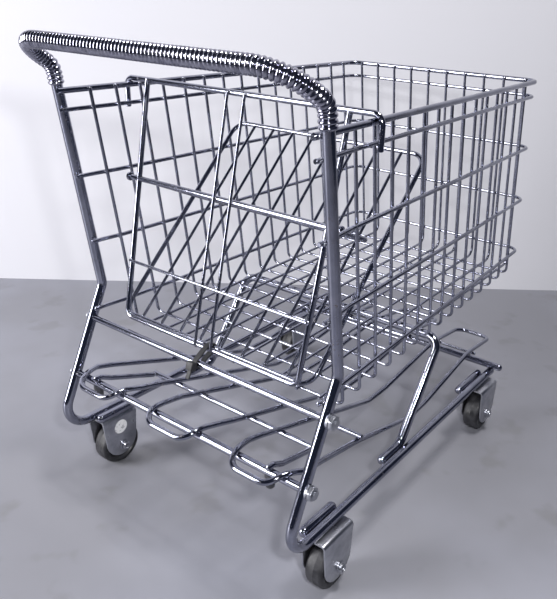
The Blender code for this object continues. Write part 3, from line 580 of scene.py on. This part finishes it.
# Basket hoops
# Five wires run round the basket from leg to leg. The top one is thicker and is the rim. Their rear
# ends are butted on the legs and welded, and they sink a little into the ribs at each weld.
HOOPS = {
    "basket_rim": (0.2508, 0.0017),
    "basket_hoop_1": (0.2405, 0.0012),
    "basket_hoop_2": (0.2030, 0.0012),
    "basket_hoop_3": (0.1623, 0.0012),
    "basket_hoop_4": (0.1190, 0.0012),
}
BASKET_RISE = 0.025
BASKET_REAR_HALF = 0.0825
BASKET_TAPER = 0.023
BASKET_TAPER_FROM_X = -0.012
BASKET_FRONT_X = 0.2565
BASKET_FRONT_Z = 0.257
BASKET_CORNER = 0.0095
HOOP_TAIL = 0.0040
HOOP_EASE_X = 0.018
RIB_R = 0.00098
WELD_SINK = 0.00024
RIB_LEAN = 0.15
CUT_END = ((-0.25, 1), (0, 0.72))
LEG_BEAD = (0.0026, 0.0013)
LEG_BEAD_OUT = 0.9


def hoop_z(name, x):
    """The height of a hoop's centre line, which rises towards the front."""
    return HOOPS[name][0] + BASKET_RISE * x


def basket_half(x):
    """Half width between the ribs' centre lines."""
    return BASKET_REAR_HALF - BASKET_TAPER * (x - BASKET_TAPER_FROM_X)


def wall_x(z):
    """The front wall wires' centre line at a height."""
    return BASKET_FRONT_X + RIB_LEAN * (BASKET_FRONT_Z - z)


def blob(shape, centre, along, long_r, short_r):
    """A bead of weld metal, longer along one direction."""
    turn = along.to_track_quat("Z", "Y").to_matrix().to_4x4()
    bmesh.ops.create_icosphere(
        shape, subdivisions=2, radius=1,
        matrix=Matrix.Translation(centre) @ turn @ Matrix.Diagonal((short_r, short_r, long_r, 1)),
    )


def hoop_front_x(name):
    """Where a hoop crosses the front, found in a few steps because its height changes with X."""
    front_x = BASKET_FRONT_X
    for _ in range(3):
        front_x = wall_x(hoop_z(name, front_x)) + RIB_R + HOOPS[name][1] - WELD_SINK
    return front_x


welds = bmesh.new()
shape = bmesh.new()
for name, (height, radius) in HOOPS.items():
    outside = RIB_R + radius - WELD_SINK
    leg = leg_x(height)
    leg_y = FRAME_HALF_WIDTH - TUBE_R - GAP - radius
    front_x = hoop_front_x(name)
    places = [
        (leg - HOOP_TAIL, leg_y),
        (leg + HOOP_TAIL, leg_y),
        (HOOP_EASE_X, basket_half(HOOP_EASE_X) + outside),
        (front_x, basket_half(front_x) + outside),
    ]
    side_line = [at(x, y, hoop_z(name, x)) for x, y in places]
    bends = [HOOP_EASE_X, HOOP_EASE_X, BASKET_CORNER]
    sweep(shape, bent(both_sides(side_line), bends + bends[::-1]), radius, WIRE_SIDES, CUT_END)
    for side in (1, -1):
        spot = at(leg, side * (leg_y + radius * LEG_BEAD_OUT), hoop_z(name, leg))
        blob(welds, spot, Vector((1, 0, 0)), *LEG_BEAD)
set_piece("basket_hoops", shape, chrome, "cart", list(HOOPS))


# Basket ribs
# Fifteen U-shaped wires stand inside the hoops and cross under the floor. Each is spot-welded to
# every hoop it passes, and their cut tops show just over the rim.
RIB_COUNT = 15
FIRST_RIB_X = 0.0211
LAST_RIB_TO_FRONT = 0.0164
RIB_DROP = 0.01615
RIB_CORNER = 0.0040
RIB_ABOVE_RIM = 0.0008
RIB_BEAD = (0.00135, 0.00105)
TOP_BEAD_SHARE = 0.004

front_wall_x = wall_x(hoop_z("basket_hoop_4", BASKET_FRONT_X))
rib_pitch = (front_wall_x - LAST_RIB_TO_FRONT - FIRST_RIB_X) / (RIB_COUNT - 1)
rib_low = []
shape = bmesh.new()
for number in range(RIB_COUNT):
    x = FIRST_RIB_X + rib_pitch * number
    level = hoop_z("basket_hoop_4", x)
    rise = hoop_z("basket_rim", x) - level + RIB_ABOVE_RIM
    top_x = x - RIB_LEAN * rise
    low_x = x + RIB_LEAN * RIB_DROP
    top = at(top_x, basket_half(top_x), level + rise - BASKET_RISE * RIB_LEAN * rise)
    low = at(low_x, basket_half(low_x), level - RIB_DROP)
    rib_low.append((low_x, level - RIB_DROP))
    sweep(shape, bent(both_sides([top, low]), [RIB_CORNER] * 2), RIB_R, THIN_SIDES, CUT_END)
    for name in HOOPS:
        share = (top.z - hoop_z(name, top_x)) / (top.z - low.z)
        for side in (1, -1):
            spot = top.lerp(low, max(share, TOP_BEAD_SHARE))
            spot.y = side * (spot.y + RIB_R)
            blob(welds, spot, Vector((0, 0, 1)), *RIB_BEAD)
ribs = [f"basket_rib_{number + 1:02d}" for number in range(RIB_COUNT)]
set_piece("basket_ribs", shape, chrome, "cart", ribs)


# Basket floor wires
# Ten wires run along the floor on top of the ribs and turn up inside the hoops as the front wall.
FLOOR_R = 0.00098
FLOOR_COUNT = 10
FLOOR_PITCH = 0.01546
FLOOR_BACK_X = 0.018
FLOOR_BEND = 0.006
FLOOR_BEAD = (0.0012, 0.00095)
WALL_BEAD = (0.0013, 0.00105)


def floor_z(x):
    """The ribs' centre line along the floor."""
    return hoop_z("basket_hoop_4", x - RIB_LEAN * RIB_DROP) - RIB_DROP


lift = RIB_R + FLOOR_R
corner_x = BASKET_FRONT_X
top_x = BASKET_FRONT_X
for _ in range(3):
    corner_x = wall_x(floor_z(corner_x) + lift)
    top_x = wall_x(hoop_z("basket_rim", top_x) + RIB_ABOVE_RIM)
shape = bmesh.new()
for number in range(FLOOR_COUNT):
    y = ((FLOOR_COUNT - 1) / 2 - number) * FLOOR_PITCH
    points = [
        at(FLOOR_BACK_X, y, floor_z(FLOOR_BACK_X) + lift),
        at(corner_x, y, floor_z(corner_x) + lift),
        at(top_x, y, hoop_z("basket_rim", top_x) + RIB_ABOVE_RIM),
    ]
    sweep(shape, bent(points, [FLOOR_BEND]), FLOOR_R, THIN_SIDES, CUT_END)
    for x, z in rib_low:
        blob(welds, at(x, y, z + lift / 2), Vector((1, 0, 0)), *FLOOR_BEAD)
    for name, (height, radius) in HOOPS.items():
        front_x = hoop_front_x(name)
        blob(welds, at(front_x - radius, y, hoop_z(name, front_x)), Vector((0, 0, 1)), *WALL_BEAD)
floors = [f"floor_wire_{number + 1:02d}" for number in range(FLOOR_COUNT)]
set_piece("floor_wires", shape, chrome, "cart", floors)


# Rear gate
# A wire outline hooked over the rim, a middle bar whose ends show as round heads, and thin wires
# welded on its back: two uprights close to the middle and one bar low down.
GATE_R = 0.0016
GATE_THIN_R = 0.0009
GATE_BOTTOM_X = 0.0034
GATE_BOTTOM_Z = 0.118
GATE_LEAN = 0.206
GATE_BOTTOM_HALF = 0.066
GATE_TOP_HALF = 0.070
GATE_CORNER = 0.005
GATE_MIDDLE_Z = 0.200
GATE_MIDDLE_HALF = 0.0765
GATE_LOWER_Z = 0.152
GATE_UPRIGHT_Y = 0.006
HOOK_HALF = 0.088
HOOK_LENGTH = 0.017
HOOK_BEND = 0.0050
GATE_SINK = 0.0004
GATE_BEAD = (0.0013, 0.0010)
GATE_BEAD_IN = 0.45
CORNER_BEAD = (0.0024, 0.0017)
GATE_HEAD = (
    (-0.0011, 0), (-0.0011, 0.0023), (-0.0008, 0.0026), (0.0004, 0.0026), (0.0009, 0.0019), (0.0011, 0),
)


def gate_x(z):
    """The gate's centre line at a height."""
    return GATE_BOTTOM_X + GATE_LEAN * (z - GATE_BOTTOM_Z)


top_z = GATE_BOTTOM_Z
for _ in range(4):
    top_z = hoop_z("basket_rim", gate_x(top_z)) + HOOPS["basket_rim"][1] + GAP + GATE_R
behind = Vector((-1, 0, GATE_LEAN)).normalized() * (GATE_R + GATE_THIN_R - GATE_SINK)
lower_share = (GATE_LOWER_Z - GATE_BOTTOM_Z) / (top_z - GATE_BOTTOM_Z)
lower_half = GATE_BOTTOM_HALF + (GATE_TOP_HALF - GATE_BOTTOM_HALF) * lower_share
hook = [at(gate_x(top_z), HOOK_HALF, top_z - HOOK_LENGTH), at(gate_x(top_z), HOOK_HALF, top_z)]
outline = [at(gate_x(top_z), GATE_TOP_HALF, top_z), at(GATE_BOTTOM_X, GATE_BOTTOM_HALF, GATE_BOTTOM_Z)]
shape = bmesh.new()
sweep(shape, bent(both_sides(hook), [HOOK_BEND] * 2), GATE_R, WIRE_SIDES, CUT_END)
sweep(shape, bent(both_sides(outline), [GATE_CORNER] * 2), GATE_R, WIRE_SIDES)
middle = at(gate_x(GATE_MIDDLE_Z), 0, GATE_MIDDLE_Z)
sweep(shape, [middle + out_y * GATE_MIDDLE_HALF, middle - out_y * GATE_MIDDLE_HALF], GATE_R, WIRE_SIDES)
lower = at(gate_x(GATE_LOWER_Z), 0, GATE_LOWER_Z) + behind
sweep(shape, [lower + out_y * lower_half, lower - out_y * lower_half], GATE_THIN_R, THIN_SIDES, CUT_END)
for y in (GATE_UPRIGHT_Y, -GATE_UPRIGHT_Y):
    ends = [at(gate_x(top_z), y, top_z) + behind, at(GATE_BOTTOM_X, y, GATE_BOTTOM_Z) + behind]
    sweep(shape, ends, GATE_THIN_R, THIN_SIDES, CUT_END)
    for spot in (ends[0], middle + out_y * y + behind, lower + out_y * y, ends[1]):
        blob(welds, spot - behind * GATE_BEAD_IN, out_y, *GATE_BEAD)
for side in (1, -1):
    turned(shape, GATE_HEAD, middle + out_y * side * GATE_MIDDLE_HALF, out_y * side, 20)
    bar_end = lower + out_y * side * lower_half
    blob(welds, bar_end - behind * GATE_BEAD_IN, Vector((0, 0, 1)), *GATE_BEAD)
    corner = Vector((outline[0].x, side * outline[0].y, outline[0].z))
    blob(welds, corner, out_y, *CORNER_BEAD)
set_piece("gate_wires", shape, chrome, "cart", ["rear_gate"])


# Child seat back
# A flat panel of thin wires welded in a rounded wire frame. It leans forward from the gate's foot
# and turns on its bottom wire.
SEAT_R = 0.0014
SEAT_THIN_R = 0.00092
SEAT_HALF = 0.0723
SEAT_FOOT_X = 0.00645
SEAT_TOP = (0.1098, 0.2235)
SEAT_CORNER = 0.009
SEAT_SPACES = 9
SEAT_BEAD = (0.0013, 0.00105)
SEAT_BEAD_IN = 0.9


def wire_panel(shape, start, end, half, corner, spaces, cross=()):
    """A rounded ring of wire, thin wires along it, and thin wires across it at shares of its length."""
    across = out_y * half
    around = [start + across, end + across, end - across, start - across]
    ring = bent([around[-1]] + around + [around[0]], [corner] * 4)[1:-1]
    normal = (end - start).cross(across).normalized()
    sweep(shape, ring, SEAT_R, WIRE_SIDES, closed=True, up=normal)
    along = (end - start).normalized()
    for space in range(1, spaces):
        y = out_y * half * (1 - 2 * space / spaces)
        sweep(shape, [start + y, end + y], SEAT_THIN_R, THIN_SIDES)
        for spot, way in ((start, 1), (end, -1)):
            blob(shape, spot + y + along * way * SEAT_R * SEAT_BEAD_IN, end - start, *SEAT_BEAD)
    for share in cross:
        middle = start.lerp(end, share)
        sweep(shape, [middle + across, middle - across], SEAT_THIN_R, THIN_SIDES)


foot = at(SEAT_FOOT_X, 0, GATE_BOTTOM_Z)
seat_top = at(SEAT_TOP[0], 0, SEAT_TOP[1])
shape = bmesh.new()
wire_panel(shape, foot, seat_top, SEAT_HALF, SEAT_CORNER, SEAT_SPACES)
set_piece("seat_back_wires", shape, chrome, "seat_back", ["seat_back"])


# Child seat flap
# The small wire seat. It turns on the gate's middle bar and rests on the wires of the seat back.
FLAP_HALF = 0.0650
FLAP_LENGTH = 0.0482
FLAP_CORNER = 0.005
FLAP_SPACES = 8
FLAP_ABOVE_SEAT = 0.0028
FLAP_BEHIND_BAR = 0.00305

slope = (seat_top - foot).normalized()
normal = Vector((-slope.z, 0, slope.x))
height = (middle - foot).dot(normal) - FLAP_ABOVE_SEAT
tip = middle - normal * height + slope * math.sqrt(FLAP_LENGTH**2 - height**2)
rear = middle + (tip - middle).normalized() * FLAP_BEHIND_BAR
shape = bmesh.new()
wire_panel(shape, rear, tip, FLAP_HALF, FLAP_CORNER, FLAP_SPACES, (0.5,))
set_piece("seat_flap_wires", shape, chrome, "seat_flap", ["seat_flap"])


# Lower tray
# Three loops of wire hooked over the thick rear rod and laid on the front tube, with wires welded
# across them and a short rod on each side from the rear rod to the first cross wire.
TRAY_R = 0.0017
TRAY_THIN_R = 0.0011
TRAY_LEVEL = 0.006
TRAY_TIP_X = 0.268
TRAY_CENTRE_TIP_X = 0.275
TRAY_REAR_X = -0.0295
TRAY_OVER_ROD = 0.0037
TRAY_OVER_FRONT = 0.0042
TRAY_EASE = 0.0018
over_rear = TRAY_ROD[0] + TRAY_OVER_ROD
over_front = FRONT_TUBE_Z + TRAY_OVER_FRONT
rod_x = leg_x(TRAY_ROD[0])
TRAY_PROFILE = [
    (TRAY_REAR_X, 0.0795),
    (rod_x - TRAY_LEVEL / 2, over_rear),
    (rod_x + TRAY_LEVEL / 2, over_rear),
    (0.001, 0.0786),
    (0.120, 0.0440),
    (0.144, 0.0440),
    (FRONT_TUBE_X - TRAY_LEVEL / 2, over_front),
    (FRONT_TUBE_X + TRAY_LEVEL / 2, over_front),
    (TRAY_CENTRE_TIP_X, 0.0455),
]
CENTRE_LOOP = [(TRAY_REAR_X, 0.0165, 0.009), (0.003, 0.0205, 0.018), (TRAY_CENTRE_TIP_X, 0.017, 0.009)]
SIDE_LOOP = [
    (TRAY_REAR_X, 0.048, 0.009),
    (TRAY_REAR_X, 0.074, 0.009),
    (-0.010, 0.0832, 0.009),
    (0.050, 0.0770, 0.018),
    (TRAY_TIP_X, 0.069, 0.009),
    (TRAY_TIP_X, 0.0402, 0.009),
    (-0.008, 0.0428, 0.018),
]
TRAY_PACE = 0.004


def tray_z(x):
    """The height of the tray's wires, eased a little where they change slope."""
    def straight(x):
        for (x0, z0), (x1, z1) in zip(TRAY_PROFILE, TRAY_PROFILE[1:]):
            if x <= x1:
                return z0 + (z1 - z0) * (x - x0) / (x1 - x0)
        return TRAY_PROFILE[-1][1]
    return (straight(x - TRAY_EASE) + straight(x) + straight(x + TRAY_EASE)) / 3


def tray_loop(shape, places):
    """One closed loop through places of (x, y, bend), laid along the tray's heights."""
    around = [Vector((x, y, 0)) for x, y, _ in [places[-1]] + places + [places[0]]]
    flat = bent(around, [bend for _, _, bend in places])[1:-1]
    line = []
    for start, end in zip(flat, flat[1:] + flat[:1]):
        steps = max(1, math.ceil((end - start).length / TRAY_PACE))
        for step in range(steps):
            spot = start.lerp(end, step / steps)
            line.append(at(spot.x, spot.y, tray_z(spot.x)))
    sweep(shape, line, TRAY_R, WIRE_SIDES, closed=True, up=Vector((0, 0, 1)))


shape = bmesh.new()
tray_loop(shape, CENTRE_LOOP + [(x, -y, bend) for x, y, bend in reversed(CENTRE_LOOP)])
for side in (1, -1):
    tray_loop(shape, [(x, side * y, bend) for x, y, bend in SIDE_LOOP])
loops = ["tray_loop_centre", "tray_loop_left", "tray_loop_right"]
set_piece("tray_loops", shape, chrome, "cart", loops)

CROSS_WIRES = {
    "tray_rod_rear": (0.022, 0.0665, TRAY_R, -1),
    "tray_rod_middle": (0.050, 0.0800, TRAY_R, 1),
    "tray_rod_front": (0.227, 0.074, TRAY_THIN_R, -1),
}
SIDE_ROD_END_Y = 0.065
SIDE_ROD_DROP = 0.0035
SIDE_ROD_REACH = 0.0020
SIDE_ROD_BEND = 0.004
ROD_SIDES = 14
SLOPE_STEP = 0.0001
CROSS_BEAD = (0.0016, 0.0012)
CROSS_BEAD_Y = (0.0190, -0.0190, 0.0425, -0.0425)
ROD_END_BEAD = (0.0018, 0.0014)
ROD_HOOK_BEAD = (0.0020, 0.0014)
cross_z = {}
shape = bmesh.new()
for name, (x, reach, radius, way) in CROSS_WIRES.items():
    tilt = (tray_z(x + SLOPE_STEP) - tray_z(x - SLOPE_STEP)) / (2 * SLOPE_STEP)
    offset = way * (TRAY_R + radius - GAP) * math.hypot(1, tilt)
    cross_z[name] = tray_z(x) + offset
    sweep(shape, [at(x, reach, cross_z[name]), at(x, -reach, cross_z[name])], radius, ROD_SIDES, CUT_END)
    for y in CROSS_BEAD_Y:
        blob(welds, at(x, y, tray_z(x) + offset / 2), Vector((1, 0, 0)), *CROSS_BEAD)
for side in (1, -1):
    bend_x = rod_x + SIDE_ROD_REACH
    end_x = CROSS_WIRES["tray_rod_rear"][0] - TRAY_R - GAP
    points = [
        at(rod_x - TRAY_LEVEL / 2, side * PEG_Y, over_rear),
        at(bend_x, side * PEG_Y, over_rear),
        at(bend_x + 2 * SIDE_ROD_DROP, side * PEG_Y, over_rear - SIDE_ROD_DROP),
        at(end_x, side * SIDE_ROD_END_Y, cross_z["tray_rod_rear"]),
    ]
    sweep(shape, bent(points, [SIDE_ROD_BEND] * 2), TRAY_R, ROD_SIDES, CUT_END)
    blob(welds, points[-1] + Vector((TRAY_R, 0, 0)) * 0.5, out_y, *ROD_END_BEAD)
    blob(welds, at(rod_x, side * PEG_Y, over_rear - TRAY_R), Vector((1, 0, 0)), *ROD_HOOK_BEAD)
cross_nodes = list(CROSS_WIRES) + ["tray_side_rod_left", "tray_side_rod_right"]
set_piece("tray_cross_wires", shape, chrome, "cart", cross_nodes)


# Cable tie
# A black nylon tie round the rear rod, the gate's bottom wire and the seat back's bottom wire. Its
# head is a small box behind the rod, with the tail pulled through it and hanging down.
TIE_Y = -0.0022
TIE_HALF = 0.0016
TIE_THICK = 0.0008
TIE_HEAD = 0.0050
TIE_TAIL = 0.0070
TIE_STEPS = 24
HEAD_TILT = 20
TAIL_TILT = 25
HEAD_ROUND = 0.0005
TAIL_ROUND = 0.0002
NYLON_BLACK = (0.006, 0.006, 0.007)
NYLON_WORN = (0.020, 0.020, 0.023)


def rounded_box(shape, place, tilt, size, edge, segments):
    """A small box turned about the cross axis, with its edges rounded."""
    turn = Matrix.Rotation(math.radians(tilt), 4, "Y")
    matrix = Matrix.Translation(place) @ turn @ Matrix.Diagonal((*size, 1))
    made = bmesh.ops.create_cube(shape, size=1, matrix=matrix)["verts"]
    edges = list({item for vert in made for item in vert.link_edges})
    bmesh.ops.bevel(
        shape, geom=edges, offset=edge, affect="EDGES", segments=segments, profile=0.5, material=-1,
    )


nylon = Look("black_nylon")
nylon.set(Base_Color=nylon.mix(nylon.noise(400, 3), NYLON_BLACK, NYLON_WORN))
nylon.set(Roughness=nylon.noise(600, 2) * 0.25 + 0.42)
nylon.bump(nylon.noise(900, 2), 0.00005, 0.6)

bars = (
    (leg_x(REAR_ROD[0]), REAR_ROD[0], REAR_ROD[1]),
    (GATE_BOTTOM_X, GATE_BOTTOM_Z, GATE_R),
    (SEAT_FOOT_X, GATE_BOTTOM_Z, SEAT_R),
)
shape = bmesh.new()
for x, z, radius in bars:
    bmesh.ops.create_circle(
        shape, cap_ends=False, segments=TIE_STEPS, radius=radius + GAP,
        matrix=Matrix.Translation(at(x, TIE_Y - TIE_HALF, z)) @ Matrix.Rotation(math.pi / 2, 4, "X"),
    )
hull = bmesh.ops.convex_hull(shape, input=list(shape.verts), use_existing_faces=False)
inner = set(hull["geom_interior"]) | set(hull["geom_unused"])
hidden = [item for item in inner if isinstance(item, bmesh.types.BMVert)]
bmesh.ops.delete(shape, geom=hidden, context="VERTS")
bmesh.ops.dissolve_limit(shape, angle_limit=0.01, verts=list(shape.verts), edges=list(shape.edges))
flat = max(shape.faces, key=lambda face: face.calc_area())
belt = [vert.co.copy() for vert in flat.verts]
shape.clear()
ring = [shape.verts.new(point) for point in belt]
edges = [shape.edges.new(pair) for pair in zip(ring, ring[1:] + ring[:1])]
grown = bmesh.ops.extrude_edge_only(shape, edges=edges)["geom"]
far = [item for item in grown if isinstance(item, bmesh.types.BMVert)]
bmesh.ops.translate(shape, verts=far, vec=out_y * TIE_HALF * 2)
bmesh.ops.recalc_face_normals(shape, faces=shape.faces)
face = max(shape.faces, key=lambda item: item.calc_center_median().z)
if face.normal.z < 0:
    bmesh.ops.reverse_faces(shape, faces=shape.faces)
bmesh.ops.solidify(shape, geom=list(shape.faces), thickness=-TIE_THICK)
rear_x, rear_z, rear_r = bars[0]
head_x = rear_x - rear_r - GAP - TIE_THICK - TIE_HEAD / 3
head_size = (TIE_HEAD * 0.8, TIE_HALF * 3.0, TIE_HEAD)
rounded_box(shape, at(head_x, TIE_Y, rear_z), HEAD_TILT, head_size, HEAD_ROUND, 3)
tail_place = at(head_x - TIE_TAIL / 4, TIE_Y, rear_z - TIE_TAIL / 2)
tail_size = (TIE_THICK, TIE_HALF * 1.7, TIE_TAIL)
rounded_box(shape, tail_place, TAIL_TILT, tail_size, TAIL_ROUND, 2)
set_piece("nylon_tie", shape, nylon.material, "cart", ["gate_tie"], 35)


# Welds
# The small plated beads where wires cross each other or meet the legs. They are a little rougher
# than the wire and catch the light.
WELD_BRIGHT = (0.50, 0.51, 0.57)
WELD_SHADE = (0.34, 0.35, 0.41)

weld = chrome_look("weld_bead", WELD_BRIGHT, WELD_SHADE, 0.12, 0.3)
set_piece("weld_beads", welds, weld, "cart", [], 180)


# Floor, wall, light and camera
# A mottled grey floor and a pale wall set at an angle close behind the basket. A tall window lamp
# stands behind on the left in a dim room, with a softer lamp overhead and a small one by the camera.
FLOOR_COLOUR = (0.24, 0.245, 0.285)
FLOOR_SMUDGE = (0.17, 0.17, 0.185)
WALL_COLOUR = (0.62, 0.62, 0.66)
FLOOR_HALF = 0.75
WALL_HALF = 1.0
WALL_PLACE = (0.336, 0.2015)
WALL_TURN = -51
WALL_SINK = 0.001
CAMERA_PLACE = at(-0.241375, -0.250135, 0.299476)
CAMERA_TURN = (67.4399, -2.8694, -54.6614)
CAMERA_SENSOR = 36
CAMERA_LENS = 41.0966
CAMERA_SHIFT = (-0.08848, -0.01586)
CAMERA_NEAR = 0.01
ROOM_COLOUR = (0.05, 0.06, 0.10)
ROOM_STRENGTH = 0.6


def stage_sheet(name, half, matrix, look):
    """A flat square of the stage."""
    shape = bmesh.new()
    bmesh.ops.create_grid(shape, x_segments=1, y_segments=1, size=half, matrix=matrix)
    mesh = bpy.data.meshes.new(name)
    shape.to_mesh(mesh)
    shape.free()
    mesh.materials.append(look.material)
    sheet = bpy.data.objects.new(name, mesh)
    bpy.context.scene.collection.objects.link(sheet)
    sheet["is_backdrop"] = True


def lamp(name, place, aim, size, power, colour):
    """A rectangular lamp at a place, aimed at a point."""
    data = bpy.data.lights.new(name, "AREA")
    data.shape = "RECTANGLE"
    data.size, data.size_y = size
    data.energy = power
    data.color = colour
    made = bpy.data.objects.new(name, data)
    aimed = (Vector(aim) - Vector(place)).to_track_quat("-Z", "Y").to_matrix().to_4x4()
    made.matrix_world = Matrix.Translation(place) @ aimed
    bpy.context.scene.collection.objects.link(made)


stage_floor = Look("pale_floor")
mottle = stage_floor.noise(5, 4).above(0.47, 0.16)
smudge = stage_floor.noise(22, 3).above(0.62, 0.06)
worn_floor = mottle * 0.6 + smudge * 0.35
stage_floor.set(Base_Color=stage_floor.mix(worn_floor, FLOOR_COLOUR, FLOOR_SMUDGE), Roughness=0.5)
stage_wall = Look("pale_wall")
stage_wall.set(Base_Color=WALL_COLOUR, Roughness=0.8)

stage_sheet("floor", FLOOR_HALF, Matrix.Identity(4), stage_floor)
upright = Matrix.Rotation(math.radians(WALL_TURN), 4, "Z") @ Matrix.Rotation(math.pi / 2, 4, "X")
wall_matrix = Matrix.Translation(at(*WALL_PLACE, WALL_HALF - WALL_SINK)) @ upright
stage_sheet("wall", WALL_HALF, wall_matrix, stage_wall)

lamp("window", (-0.88, 0.56, 0.46), (0, 0, 0.12), (0.34, 0.78), 17.0, (1.0, 0.99, 1.0))
lamp("overhead", (0.05, -0.30, 1.25), (0.1, 0, 0.1), (0.22, 0.22), 9.0, (1.0, 0.98, 0.96))
lamp("flash", (-0.35, -0.30, 0.36), (0.03, 0, 0.12), (0.025, 0.025), 1.6, (1.0, 1.0, 1.0))

world = bpy.data.worlds.new("room")
bpy.context.scene.world = world
world.use_nodes = True
world.node_tree.nodes["Background"].inputs["Color"].default_value = (*ROOM_COLOUR, 1)
world.node_tree.nodes["Background"].inputs["Strength"].default_value = ROOM_STRENGTH

camera_data = bpy.data.cameras.new("camera")
camera_data.sensor_width = CAMERA_SENSOR
camera_data.lens = CAMERA_LENS
camera_data.shift_x, camera_data.shift_y = CAMERA_SHIFT
camera_data.clip_start = CAMERA_NEAR
camera = bpy.data.objects.new("camera", camera_data)
camera.location = CAMERA_PLACE
camera.rotation_euler = [math.radians(turn) for turn in CAMERA_TURN]
bpy.context.scene.collection.objects.link(camera)
bpy.context.scene.camera = camera
bpy.context.scene.view_settings.view_transform = "Standard"


low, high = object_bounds()
